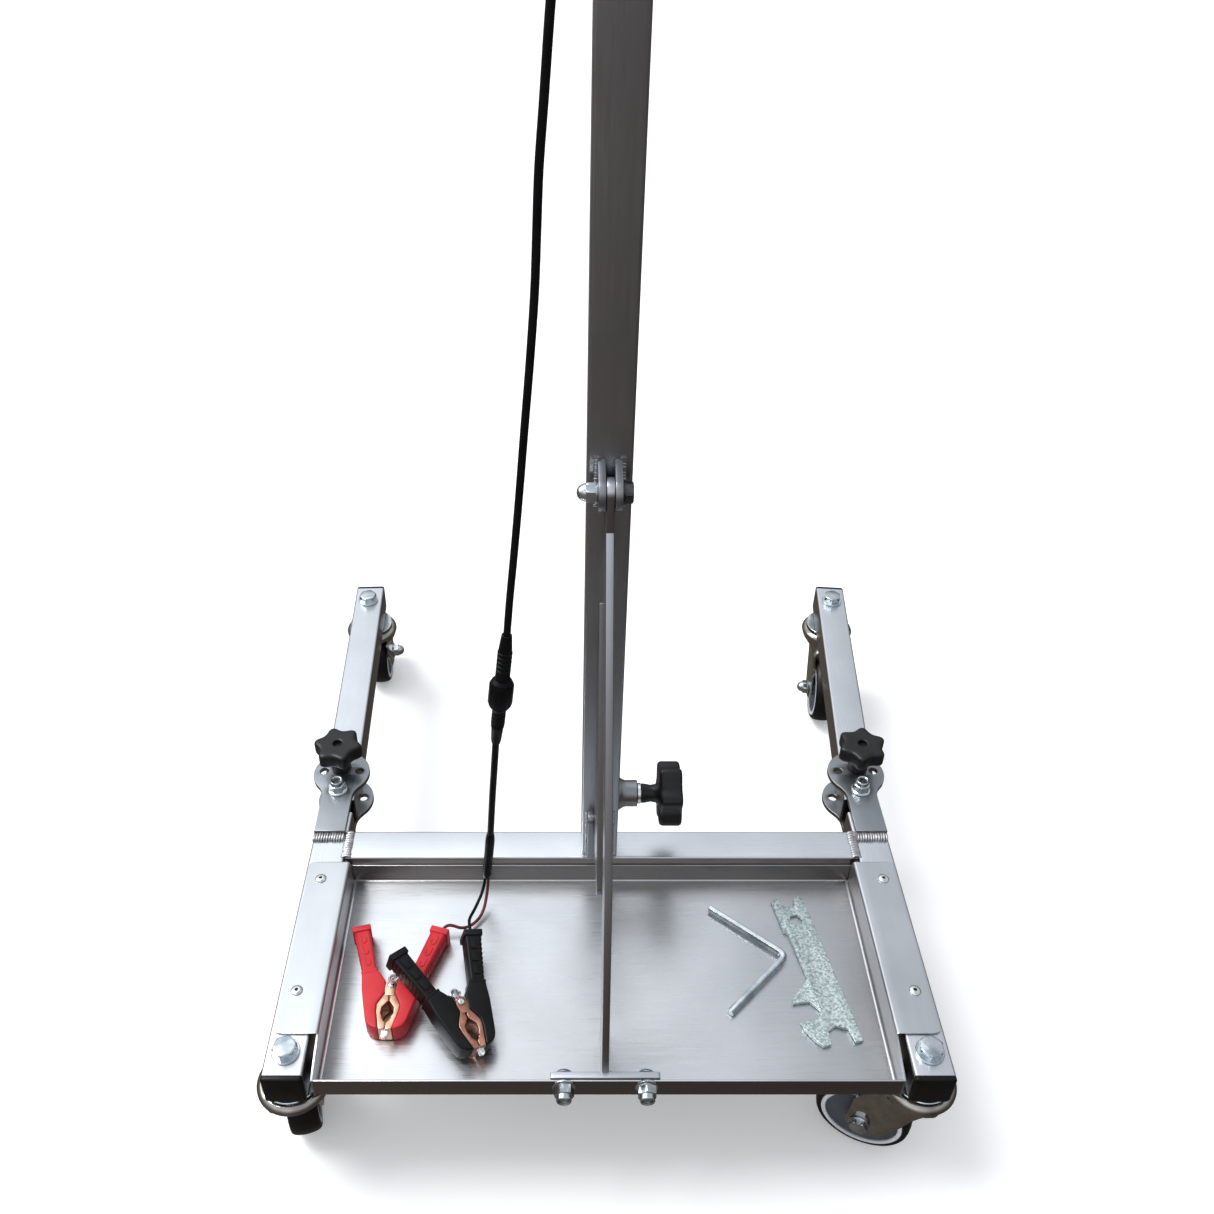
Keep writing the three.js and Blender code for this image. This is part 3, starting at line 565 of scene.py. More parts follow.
upper = cord("cord_upper_run", CORD_UPPER, CORD_DIAMETER, SHEATH, "cord_upper")
lower = cord("cord_lower_run", CORD_LOWER, CORD_DIAMETER, SHEATH, "cord_lower")
red_wire = cord("wire_red_run", WIRE_RED, WIRE_DIAMETER, RED_SHEATH, "wire_red")
black_wire = cord("wire_black_run", WIRE_BLACK, WIRE_DIAMETER, SHEATH, "wire_black")
plug = connector()
shrink = sleeve()
gland()


# ---- tubes, caps and welds
def tube(start, stop, place):
    """A square tube along +Y with rounded corners and eased ends."""
    bore = TUBE - 2 * WALL
    return square_skin(((TUBE - 0.5, CORNER - 0.2, start), (TUBE, CORNER, start + 0.3),
        (TUBE, CORNER, stop - 0.3), (TUBE - 0.5, CORNER - 0.2, stop), (bore, 0.8, stop),
        (bore, 0.8, start)), place, closed=True)


def cap(place):
    """A push-in cap on the tube end at y = 0, pointing to -Y."""
    depth = 4.3
    return square_skin(((24.6, 1, 9), (25.2, 1, -GAP), (29.4, 1.8, -GAP), (30, 2.2, -GAP - 0.4),
        (30, 2.4, 1.6 - depth), (29.6, 2.6, 1.1 - depth), (28.6, 3, 0.55 - depth), (27.4, 3.2, 0.12
        - depth), (26.4, 3.2, -depth)), place)


def end_plug(place, end, inward):
    """A flush plug inside a tube whose end is at y = end."""
    return square_skin(((26, 0.7, 9), (26, 0.7, 0.8), (25, 1.2, 0.4), (22, 2, 0.4), (21, 2, 1.2)),
        place, lambda y: end + inward * y)


def bead(shape, start, stop, width, height, up=(0, 0, 1), pitch=2.3, *, seed):
    """A rippled weld bead along a straight run."""
    rng = random.Random(seed)
    start, stop, up = Vector(start), Vector(stop), Vector(up).normalized()
    along = (stop - start).normalized()
    side = along.cross(up).normalized()
    count = max(2, round((stop - start).length / pitch))
    step = (stop - start) / count
    rings = []
    for k in range(count):
        grow = 1 + rng.uniform(-0.07, 0.07)
        for t, size in ((0.02, 0.78), (0.3, 0.97), (0.62, 1.0), (0.9, 0.92)):
            centre = start + step * (k + t)
            ring = []
            for j in range(12):
                angle = 2 * pi * j / 12
                x, y = cos(angle) * width * size * grow, sin(angle) * height * size * grow
                lag = -0.7 * pitch * 0.5 * (cos(angle) ** 2)
                ring.append(centre + side * x + up * y + along * lag)
            rings.append(ring)
    shape.loft(rings)


def swing(side, sign):
    return at(sign * PIVOT_X, PIVOT_Y, 0, SPLAY[side])


def frame_tubes():
    for side, sign in SIDES:
        place = at(sign * SIDE_X, 0, TUBE_MIDDLE)
        emit(f"side_bar_{side}", tube(0, SIDE_LENGTH, place), STEEL["y"], "tube",
            f"side_tube_{side}")
        emit(f"front_end_{side}", cap(place), PLASTIC, "black_plastic", f"front_cap_{side}")
        emit(f"side_plug_{side}", end_plug(place, SIDE_LENGTH, -1), PLASTIC, "black_plastic")
        leg_place = swing(side, sign) @ at(0, 0, TUBE_MIDDLE)
        emit(f"leg_bar_{side}", tube(LEG_FRONT, LEG_BACK, leg_place), STEEL["y"], "tube",
            f"leg_{side}", body=f"leg_{side}")
        back = leg_place @ at(0, LEG_BACK, 0, 180)
        emit(f"rear_end_{side}", cap(back), PLASTIC, "black_plastic", f"rear_cap_{side}",
            body=f"leg_{side}")
        emit(f"leg_plug_{side}", end_plug(leg_place @ at(0, LEG_FRONT, 0), 0, 1), PLASTIC,
            "black_plastic", body=f"leg_{side}")
    half = SIDE_X - TUBE / 2 - GAP
    turn = Matrix.Rotation(-pi / 2, 4, "Z")
    cross = at(0, CROSS_FRONT + TUBE / 2, TUBE_MIDDLE) @ turn
    emit("cross_bar", tube(-half, half, cross), STEEL["x"], "tube", "cross_tube")
    welds = Shape()
    for _, sign in SIDES:
        x = sign * (SIDE_X - TUBE / 2 - 1.5)
        bead(welds, (x, CROSS_FRONT + 1, TUBE_TOP), (x, CROSS_FRONT + 29, TUBE_TOP), 4.4, 1.7,
            pitch=2.6, seed=3 + sign)
        for y, face in ((CROSS_FRONT - 0.1, -1), (CROSS_FRONT + TUBE + 0.1, 1)):
            bead(welds, (sign * 219.4, y, 101), (sign * 219.4, y, 125), 1.9, 1.6, (0, face, 0),
                seed=8)
    emit("cross_welds", welds, WELD, "tube", sharp=50)


# ---- tray
def strip(columns, name, look, *replaced):
    """A bent sheet through columns of middle-surface points, thickened both ways."""
    shape = Shape()
    n = len(columns[0])
    points = [p for column in columns for p in column]
    faces = [[k * n + i, k * n + i + 1, (k + 1) * n + i + 1, (k + 1) * n + i]
        for k in range(len(columns) - 1) for i in range(n - 1)]
    shape.add(points, faces)
    piece = emit(name, shape, look, "sheet", *replaced, sharp=60)
    thick = piece.modifiers.new("thick", "SOLIDIFY")
    thick.thickness = SHEET * MM
    thick.offset = 0
    ease = piece.modifiers.new("ease", "BEVEL")
    ease.width = 0.3 * MM
    ease.segments = 2
    ease.limit_method = "ANGLE"
    ease.angle_limit = radians(50)


def tray():
    bend = 2.4
    z = TRAY_FLOOR - SHEET / 2
    front, back = SHEET / 2, TRAY_BACK - SHEET / 2
    profile = [(front, TRAY_RIM), (front, z + bend)]
    profile += arc(front + bend, z + bend, bend, 180, 270, 6)
    profile += [(y, z) for y in (40, 80, 120, 160)]
    profile += arc(back - bend, z + bend, bend, 270, 360, 6)
    profile += [(back, z + bend), (back, TRAY_RIM)]
    outer = TRAY_X + SHEET / 2
    strip([[(x, y, h) for y, h in profile] for x in (-outer + 0.8, -100, 0, 100, outer - 0.8)],
        "tray_pan", SHEET_STEEL, "tray")

    top = TUBE_TOP + GAP + SHEET / 2
    r = 1.6
    wall = TRAY_BACK - 0.1
    for side, sign in SIDES:
        section = [(outer, TRAY_FLOOR - SHEET + 0.2), (outer, 108), (outer, 114), (outer, TRAY_RIM),
            (outer, top - r)]
        section += arc(outer + r, top - r, r, 180, 90, 5)[1:]
        section += [(x, top) for x in (222, 228, 234, 240, 244, 246, FLANGE_OUTER)]
        lengths = [0.0]
        for a, b in zip(section, section[1:]):
            lengths.append(lengths[-1] + dist(a, b))
        rim = lengths[3]
        shoulder = lengths[4] + 0.8

        def reach(y):
            if y < FLANGE_FRONT:
                return rim + (shoulder - rim) * y / FLANGE_FRONT
            if y > FLANGE_BACK:
                return rim + (shoulder - rim) * (wall - y) / (wall - FLANGE_BACK)
            corner = min(5, y - FLANGE_FRONT, FLANGE_BACK - y)
            return lengths[-1] - (5 - sqrt(25 - (5 - corner) ** 2))

        rows = sorted(set([0.1, 10, 22, FLANGE_FRONT - 0.02] + [FLANGE_FRONT + 5
            * (1 - cos(radians(a))) for a in range(0, 91, 15)] + list(range(45, 185, 20))
            + [FLANGE_BACK - 5 * (1 - cos(radians(a))) for a in range(0, 91, 15)] + [FLANGE_BACK
            + 0.02, wall]))

        def spot(s):
            j = max(i for i, v in enumerate(lengths[:-1]) if v <= s)
            t = (s - lengths[j]) / (lengths[j + 1] - lengths[j])
            (x0, h0), (x1, h1) = section[j:j + 2]
            return x0 + t * (x1 - x0), h0 + t * (h1 - h0)

        columns = []
        for y in rows:
            limit = reach(y)
            columns.append([(sign * x, y, h) for x, h in (spot(min(s, limit)) for s in lengths)])
        strip(columns, f"tray_wing_{side}", FLANGE_STEEL, f"tray_side_{side}")
        fillet = Shape()
        inside = [(sign * TRAY_X, TRAY_FLOOR - 0.2)] + [(sign * (TRAY_X - 2.2 + 2.2
            * cos(radians(a))), TRAY_FLOOR + 2.2 - 2.2 * sin(radians(a))) for a in range(0, 91, 18)]
        fillet.loft([[(x, y, h) for x, h in inside] for y in (2, 60, 130, 195)])
        emit(f"tray_fold_{side}", fillet, SHEET_STEEL, "sheet", sharp=60)

    rivets, shade_fills = Shape(), Shape()
    for _, sign in SIDES:
        for x, y in ((236, 68), (235.5, 174.5)):
            place = at(sign * x, y, TUBE_TOP + GAP + SHEET)
            rivets.turned([(4.7, 0), (4.7, 0.35), (4.2, 0.9), (3.2, 1.5), (2.2, 1.75), (1.5, 1.8),
                (1.3, 1.5), (1.3, 0.5), (0, 0.5)], place, 28)
            # a near-black dome in the bore: painted shade for the rivet's hollow
            shade_fills.turned([(1.25, 0.5), (1.2, 0.9), (0.6, 1.05), (0, 1.05)], place, 16)
    emit("tray_rivets", rivets, POLISHED, "zinc", sharp=50)
    emit("rivet_bore_shade", shade_fills, BORE_SHADE, "black_plastic")


# ---- fasteners
def washer(shape, radius, low, high, place, bore=0.0):
    shape.turned([(bore, low), (radius - 0.3, low), (radius, low + 0.3), (radius, high - 0.3),
        (radius - 0.3, high), (bore, high), (bore, low)], place, 40)


def lock_nut(shape, place):
    """A flange lock nut standing on z = 0, with the bolt end sunk in its collar."""
    shape.turned([(0, 0), (8.4, 0), (8.5, 0.4), (8.4, 1.2), (7.4, 1.9), (0, 1.9)], place, 40)
    shape.hexagon(M8_FLATS, 1.4, 8.5, place, 0.7)
    shape.turned([(5.7, 8), (5.6, 11.6), (5.2, 12.3), (4.8, 12.5), (4.3, 12.2), (4.1, 11),
        (4.1, 9.6), (0, 9.6)], place, 32)
    shape.turned([(3.7, 9.6), (3.7, 10.6), (3.1, 11.2), (0, 11.2)], place, 20)


def cap_nut(shape, place):
    shape.turned([(0, 0), (7.9, 0), (8, 0.3), (8, 1.1), (7.7, 1.4), (0, 1.4)], place, 36)
    shape.hexagon(M8_FLATS, 1.2, 7.6, place, 0.7)
    shape.turned([(6.0, 7.2), (5.9, 8.4), (5.3, 10.3), (4.2, 12), (2.6, 13.1), (1.2, 13.5),
        (0, 13.6)], place, 32)
    return shape


# ---- index plates, pivots, knobs
def index_outline():
    offset, radius, neck = 22, 25.5, 13.5
    angle = radians(-42)
    px, py = radius * cos(angle), offset + radius * sin(angle)
    bend = py - (px - neck) / tan(-angle)

    def quad(a, b, c):
        return [((1 - t) ** 2 * a[0] + 2 * t * (1 - t) * b[0] + t * t * c[0], (1 - t) ** 2 * a[1]
            + 2 * t * (1 - t) * b[1] + t * t * c[1]) for t in [i / 8 for i in range(8)]]

    front = NECK_FRONT - PIVOT_Y
    points = [(-neck, front), (neck, front)]
    points += quad((neck, bend - 7), (neck, bend), (px, py))
    points += arc(0, offset, radius, -42, 222, 60)
    points += quad((-px, py), (-neck, bend), (-neck, bend - 7))[1:] + [(-neck, bend - 7)]
    return points


def star_knob(shape, place, radius, lobe, height, stem, hub, hole=4.2):
    def radius_of(angle, inset):
        wave = cos(6 * angle)
        return radius + lobe * wave - 0.25 * lobe * (1 - wave * wave) - inset

    shape.turned([(hub - 0.6, 0), (hub, 0.5), (hub - 0.3, 3), (hub - 1.2, stem * 0.55),
        (hub - 0.4, stem - 2), (hub + 1.8, stem + 0.4)], place, 40)
    rows = [(radius * 0.62, 0.4), (3.2, 0), (1.4, 0.5), (0.4, 1.6), (0, 3.2), (0, height * 0.45),
        (0, height - 3.2), (0.3, height - 2), (1.0, height - 1), (2.2, height - 0.35),
        (3.8, height - 0.05), (5.5, height)]

    rings = [level_ring(z + stem, 96, lambda angle: radius_of(angle, inset)) for inset, z in rows]
    for r, drop in ((radius * 0.5, 0), (hole + 4.2, 0.05), (hole + 3.4, -0.35), (hole + 1.6, -0.35),
            (hole + 0.8, 0.1), (hole, 0.5), (hole, 4), (0.01, 4)):
        rings.append(level_ring(stem + height - max(drop, 0), 96, lambda angle: r))
    shape.loft(rings, place)


def hinge_plates():
    outline = index_outline()
    holes = [circle(0, 0, M8_HOLE)]
    for angle in (-34, 0, 34):
        a = radians(angle)
        holes.append(circle(KNOB_REACH * sin(a), KNOB_REACH * cos(a), 4))
    for side, sign in SIDES:
        for level, z in (("upper", TUBE_TOP + GAP), ("lower", TUBE_BOTTOM - GAP - PLATE)):
            shape = Shape().plate([outline, *holes], PLATE, at(sign * PIVOT_X, PIVOT_Y, z), 0.45)
            emit(f"lobe_plate_{side}_{level}", shape, SHADED_PLATE_STEEL, "plate",
                f"index_plate_{side}_{level}")
        welds = Shape()
        x = sign * PIVOT_X
        front = NECK_FRONT - 3.4
        bead(welds, (x - 13.3, front, TUBE_TOP + 0.5), (x + 13.3, front, TUBE_TOP + 0.5), 5.6, 3.5,
            seed=5)
        bead(welds, (x - 13, front, 97.4), (x + 13, front, 97.4), 4.6, 3.2, (0, 0, -1), pitch=2.6,
            seed=6)
        emit(f"plate_welds_{side}", welds, WELD, "plate", sharp=50)
        bolt = Shape()
        upper, lower = TUBE_TOP + 2 * GAP + PLATE, TUBE_BOTTOM - 2 * GAP - PLATE
        place = at(x, PIVOT_Y, 0)
        lock_nut(bolt, place @ at(0, 0, upper, 12))
        bolt.turned([(4, lower - 1), (4, upper + 1)], place, 24)
        bolt.hexagon(M8_FLATS, 0, 5.5, place @ at(0, 0, lower) @ DOWN)
        emit(f"pivot_{side}", bolt, ZINC, "zinc", f"pivot_bolt_{side}")
        knob = Shape()
        place = swing(side, sign) @ at(0, KNOB_REACH, TUBE_TOP + PLATE + 2 * GAP, -10 if sign < 0
            else 24)
        star_knob(knob, place, 19.7, 2.3, 15, 16, 9)
        emit(f"star_knob_{side}", knob, KNOB, "knob", f"leg_knob_{side}", body=f"knob_{side}")


# ---- casters
def wheel_part(half, crest, place, segments):
    """A ring turned from one half of its profile, the points of its crest and the mirrored half."""
    back = [(r, -z) for r, z in reversed(half)]
    return Shape().turned([*half, *crest, *back, half[0]], place, segments)


CHEEK = ((17.2, 24, 31), (18, 21, 36), (20, 15.5, 40), (24, 12.5, 43), (30, 9, 44), (38, 4.8, 42.5),
    (46, 1.5, 41.5), (56, -2.4, 41), (64, -7, 37.5), (70, -11, 33), (76, -14.5, 29), (82, -17, 26),
    (87.5, -19, 24))


def fork_cheek(shape, place, sign):
    """A pressed cheek from the round crown down to the axle; CHEEK gives z and both edges."""
    rows = []
    for (z0, low0, high0), (z1, low1, high1) in zip(CHEEK, CHEEK[1:]):
        for t in (0, 0.5):
            rows.append((z0 + t * (z1 - z0), low0 + t * (low1 - low0), high0 + t * (high1 - high0)))
    rows.append(CHEEK[-1])
    rings = []
    for z, low, high in rows:
        s = min(1, max(0, (z - 70) / 15))
        s = s * s * (3 - 2 * s)
        outer, inner = [], []
        for i in range(15):
            x = low + (high - low) * i / 14
            crown = sqrt(max(9.0, 26.2 ** 2 - x * x))
            y = 16 * (1 - s) + crown * s
            rim = 1 - min(i, 14 - i) * 9 / 14
            y -= 0.9 * max(0, rim) * (1 - s)
            outer.append((x, sign * y, z))
            inner.append((x, sign * (y - 2.0), z))
        rings.append(outer + inner[::-1])
    shape.loft(rings, place)


def caster(name, place, body):
    """A swivel caster whose bolt rides on body; its fork and wheel have bodies of their own."""
    fixed = Shape()
    seat, race = TUBE_TOP + GAP, TUBE_BOTTOM - GAP
    washer(fixed, 10.5, seat, seat + 2, place)
    fixed.hexagon(M10_FLATS, seat + 1.9, seat + 8.4, place @ at(0, 0, 0, 17), 1.0)
    fixed.turned([(5, 82), (5, seat + 2)], place, 24)
    fixed.turned([(0, race), (22.4, race), (23, race - 0.5), (22.6, race - 1.6), (20.6, race - 3.2),
        (0, race - 3.2)], place, 48)
    fixed.turned([(0, 81), (7.6, 81), (8, 81.4), (9, 84), (0, 84)], place, 30)
    emit(f"swivel_bolt_{name}", fixed, ZINC, "zinc", f"caster_bolt_{name}", body=body)

    turned = place @ at(0, 0, 0, CASTER_TURN[name])
    fork = Shape()
    fork.turned([(5.5, 84.6), (20, 84.6), (25.4, 85.4), (26.6, 86.4), (27.2, 88.0), (27.2, 89.4),
        (26.6, 90.8), (25.4, 92.2), (23.9, 93.2), (22.9, 93.6), (22, 93.3), (21.4, 92.2),
        (19, 91.2), (5.5, 91.2), (5.5, 84.6)], turned, 56)
    fork_cheek(fork, turned, 1)
    fork_cheek(fork, turned, -1)
    emit(f"pressed_fork_{name}", fork, PAINTED_REFLECTION_CHROME, "chrome", f"fork_{name}", sharp=42,
        body=f"fork_{name}")

    hub_place = turned @ at(TRAIL, 0, AXLE_Z)
    axle = Shape()
    axle.turned([(4, -17), (4, 17)], hub_place @ Y_UP, 24)
    ahead, behind = hub_place @ Y_UP @ at(0, 0, 16.3, 9), hub_place @ MINUS_Y_UP @ at(0, 0, 16.3,
        21)
    washer(axle, 8, -0.2, 1.2, ahead)
    axle.hexagon(M8_FLATS, 1.0, 5.4, ahead, 0.8)
    washer(axle, 8, -0.2, 1.0, behind)
    axle.hexagon(M8_FLATS, 0.8, 6, behind, 0.6)
    axle.turned([(6.0, 5.6), (5.9, 6.8), (5.2, 8.8), (3.9, 10.6), (2.2, 11.6), (1, 11.95), (0, 12)],
        behind, 30)
    emit(f"axle_bolt_{name}", axle, ZINC, "zinc", f"axle_{name}", body=f"fork_{name}")

    spin = hub_place @ Y_UP
    tyre = wheel_part([(31.9, -11.6), (32.4, -12), (33.6, -11.9), (34.9, -11.2), (36.0, -9.6),
        (36.8, -7), (37.3, -3.6)], [(37.5, 0)], spin, 72)
    emit(f"tread_{name}", tyre, RUBBER, "tyre", f"tyre_{name}", sharp=45, body=f"wheel_{name}")
    rim = wheel_part([(28.4, -11.7), (28.9, -12), (31.2, -12), (31.6, -11.6)], [], spin, 72)
    emit(f"rim_{name}", rim, PALE_RING, "hub", body=f"wheel_{name}")
    disc = wheel_part([(4.3, -12), (9.2, -12), (9.6, -11.6), (9.8, -9.6), (13, -8.6), (25.5, -8.8),
        (28.3, -10.6)], [], spin, 60)
    emit(f"disc_{name}", disc, DISC, "hub", f"hub_{name}", body=f"wheel_{name}")


def casters():
    for side, sign in SIDES:
        caster(f"front_{side}", at(sign * SIDE_X, CASTER_Y_FRONT, 0), "base")
        pivot = swing(side, sign) @ Vector((0, CASTER_Y_REAR, 0))
        caster(f"rear_{side}", Matrix.Translation(pivot), f"leg_{side}")


# ---- mast, clamp knob, brace
def mast():
    place = at(MAST_X, MAST_FRONT + TUBE / 2, 0)
    upright = place @ MINUS_Y_UP
    bar = tube(TUBE_TOP + GAP, MAST_TOP, upright)
    inside = MAST_FRONT + 0.6
    ear = [(inside, CLEVIS_Z + 17)] + arc(CLEVIS_Y, CLEVIS_Z - 1, 12, 100, 242, 20) + [(inside,
        CLEVIS_Z - 19)]
    hole = circle(CLEVIS_Y, CLEVIS_Z, M8_HOLE)
    lug = [(inside, 187)] + arc(MAST_FRONT - 4, 181, 6, 100, 180, 8) + [(MAST_FRONT - 10, 138),
        (inside, 134)]
    welds, ears = Shape(), Shape()
    for x in (MAST_X - 8, MAST_X + 3):
        ears.plate([ear, hole], 5, at(x, 0, 0) @ SIDE_VIEW, 0.5)
    for x in (MAST_X - 10.3, MAST_X + 4.8):
        ears.plate([lug], 5, at(x, 0, 0) @ SIDE_VIEW, 0.5)
    emit("mast_bar", bar, SHADED_MAST_STEEL, "mast", "mast")
    emit("mast_ears", ears, SHADED_EAR_STEEL, "mast", "mast")
    for x in (MAST_X - 8.6, MAST_X + 8.6):
        bead(welds, (x, MAST_FRONT, CLEVIS_Z - 19), (x, MAST_FRONT, CLEVIS_Z + 19), 2.4, 1.7,
            (0, -1, 0), seed=11)
    for x in (MAST_X - 10.8, MAST_X + 10.4):
        bead(welds, (x, MAST_FRONT, 136), (x, MAST_FRONT, 186), 1.7, 1.5, (0, -1, 0), seed=12)
    foot = [(MAST_X + x, MAST_FRONT - 0.2, TUBE_TOP + 0.4) for x in (-14, 14)]
    bead(welds, *foot, 1.9, 1.4, (0, -1, 0.6), seed=13)
    emit("mast_welds", welds, WELD, "mast", sharp=50)
    top = at(MAST_X, MAST_FRONT + TUBE / 2, MAST_TOP) @ Y_UP
    emit("mast_end", cap(top), PLASTIC, "black_plastic", "mast_cap")

    sleeve_place = at(MAST_X + TUBE / 2 + GAP, CLAMP_Y, CLAMP_Z) @ X_UP
    boss = Shape().turned([(4.6, 0), (14, 0), (13.6, 0.9), (12.4, 2.4), (11.3, 4.4), (11, 6),
        (11, 15), (10.6, 15.5), (4.6, 15.5), (4.6, 0)], sleeve_place, 44)
    # The boss takes the darker plate steel: painted shade beside the mast.
    emit("boss_ring", boss, SHADED_PLATE_STEEL, "mast")
    spacer = Shape()
    washer(spacer, 8.6, 15.8, 18.6, sleeve_place, 4.2)
    emit("boss_washer", spacer, POLISHED, "zinc", body="knob_mast")
    knob = Shape()
    star_knob(knob, sleeve_place @ at(0, 0, 19), 24.5, 2.8, 19, 14, 8.2, 4.6)
    emit("star_knob_mast", knob, KNOB, "knob", "mast_knob", body="knob_mast")
    stud = Shape().turned([(4, -7), (4, 21)], sleeve_place, 24)
    for z in range(15, 21):
        stud.turned([(3.9, z), (4.35, z + 0.35), (3.9, z + 0.7)], sleeve_place, 24)
    emit("mast_knob_stud", stud, ZINC, "zinc", body="knob_mast")


def brace():
    back = SHEET + GAP
    foot = back + 5
    bottom = TRAY_FLOOR + 0.5
    bar = [(foot - 1, bottom + 0.7), (foot - 1, 120.5), (46, 273), (175.5, 478)]
    bar += arc(CLEVIS_Y, CLEVIS_Z, 10, 180, 0, 20)
    bar += [(195.5, 446), (82, 266), (48, 118), (48, bottom + 0.7)]
    shape = Shape().plate([bar, circle(CLEVIS_Y, CLEVIS_Z, M8_HOLE)], 5.4, at(MAST_X - 2.7, 0, 0)
        @ SIDE_VIEW, 0.6)
    plan = rounded([(-40, bottom), (40, bottom), (40, 121.5), (-40, 121.5)], 2)
    holes = [circle(sign * FOOT_BOLT_X, FOOT_BOLT_Z, 4.3) for _, sign in SIDES]
    shape.plate([plan, *holes], 5, at(MAST_X, foot, 0) @ MINUS_Y_UP, 0.5)
    emit("brace_bar", shape, BRACE_STEEL, "brace", "brace_plate", sharp=25)
    welds = Shape()
    for x, lean in ((MAST_X - 3.6, -1), (MAST_X + 3.6, 1)):
        bead(welds, (x, foot + 0.3, bottom + 2), (x, foot + 0.3, 120), 1.8, 1.5, (lean, 0.8, 0),
            seed=21)
    emit("foot_welds", welds, WELD, "brace", sharp=50)
    for side, sign in SIDES:
        place = at(MAST_X + sign * FOOT_BOLT_X, 0, FOOT_BOLT_Z)
        bolt = Shape()
        lock_nut(bolt, place @ at(0, -GAP, 0) @ MINUS_Y_UP @ at(0, 0, 0, 10 + 20 * sign))
        bolt.turned([(4, -8), (4, foot + 1)], place @ Y_UP, 24)
        bolt.turned([(0, 0), (7, 0), (7, 0.6), (6.5, 1.8), (5.2, 3.0), (3.8, 3.6), (2.3, 3.8),
            (2.3, 2.0), (0, 2.0)], place @ at(0, foot + GAP, 0) @ Y_UP, 32)
        emit(f"foot_fixing_{side}", bolt, ZINC, "zinc", f"foot_bolt_{side}")
    web = [(MAST_FRONT - GAP, 404), (118, 186), (118, 179), (MAST_FRONT - GAP, 168)]
    gusset = Shape().plate([rounded(web, 2)], 5, at(-7, 0, 0) @ SIDE_VIEW, 0.5)
    emit("gusset_web", gusset, BRACE_STEEL, "plate", "gusset_plate", sharp=25)
    place = at(MAST_X, CLEVIS_Y, CLEVIS_Z) @ X_UP
    bolt = Shape().turned([(4, -17), (4, 10)], place, 24)
    emit("clevis_shank", bolt, ZINC, "zinc", "clevis_bolt")
    head = Shape().turned([(0, 8.3), (7.9, 8.3), (8, 8.6), (8, 9.4), (7.7, 9.7), (0, 9.7)], place,
        36)
    head.hexagon(M8_FLATS, 9.5, 14.9, place @ at(0, 0, 0, 14), 0.8)
    emit("clevis_fixing", head, DARK_HEAD_METAL, "zinc")
    nut = cap_nut(Shape(), place @ at(0, 0, -8.3) @ DOWN)
    emit("clevis_dome", nut, ZINC, "zinc")


# ---- battery clips: jaws to -Y and handles to +Y of the hinge, which is the origin
COIL_RADIUS, COIL_Y, COIL_PITCH, COIL_TURNS, COIL_STEPS = 3.6, 9.8, 1.9, 5, 16


def mirrored(points, sign):
    return [(sign * x, y) for x, y in points]


def along_handle(t, inset=0.0):
    outer = Vector((24.4, 8)).lerp(Vector((40, 52.6)), t)
    inner = Vector((12.2, 12.4)).lerp(Vector((25.2, 56.6)), t)
    across = (inner - outer).normalized()
    return outer + across * inset, inner - across * inset


def clip_half(color, sign, place, body, look, slot, node):
    shape = Shape()
    grip = Shape()
    housing = [(5.1, -37.3), (9, -37), (13.6, -34.4), (16, -30), (19.6, -16), (22.6, -4), (24.4, 8),
        (24.9, 9.6), (12.7, 13.9), (6.8, 6.6), (4.6, 3.6), (3.6, -6), (9.2, -17), (8.7, -22.5)]
    shape.plate([mirrored(rounded(housing, 1.6, 3), sign)], 17, place, 1.5, 3)
    root_out, root_in = along_handle(0.0, 1.15)
    end_out, end_in = along_handle(0.99, 1.15)
    handle = [root_out, end_out, end_in, root_in]
    grip.plate([mirrored(rounded(handle, 1.2, 3), sign)], 14.8, place @ at(0, 0, 1.1), 1.6, 3)
    for low, high in ((0.015, 0.075), (0.885, 1.0)):
        a, b = along_handle(low)
        c, d = along_handle(high)
        grip.plate([mirrored(rounded([a, c, d, b], 0.8, 3), sign)], 17, place, 0.7, 2)
    marks(grip, sign, place, color)
    emit(f"{node}_grip", grip, look, slot, node, body=body)
    emit(f"{node}_sleeve", shape, look, slot, node, body=body)

    jaw = [(0.35, -13.4), (4.7, -19), (4.9, -24), (3.2, -27.6), (3.9, -28.4), (2.0, -29.2),
        (2.6, -30.4), (1.0, -31), (0.35, -33), (0.35, -37.4), (4.9, -37.3), (8.5, -22.6),
        (9.0, -17), (3.5, -6.2), (0.6, -9.4)]
    copper = Shape().plate([mirrored(jaw, sign)], 15.2, place @ at(0, 0, 0.9), 0.5, 2)
    emit(f"{node}_jaw", copper, COPPER[color], slot, body=body)


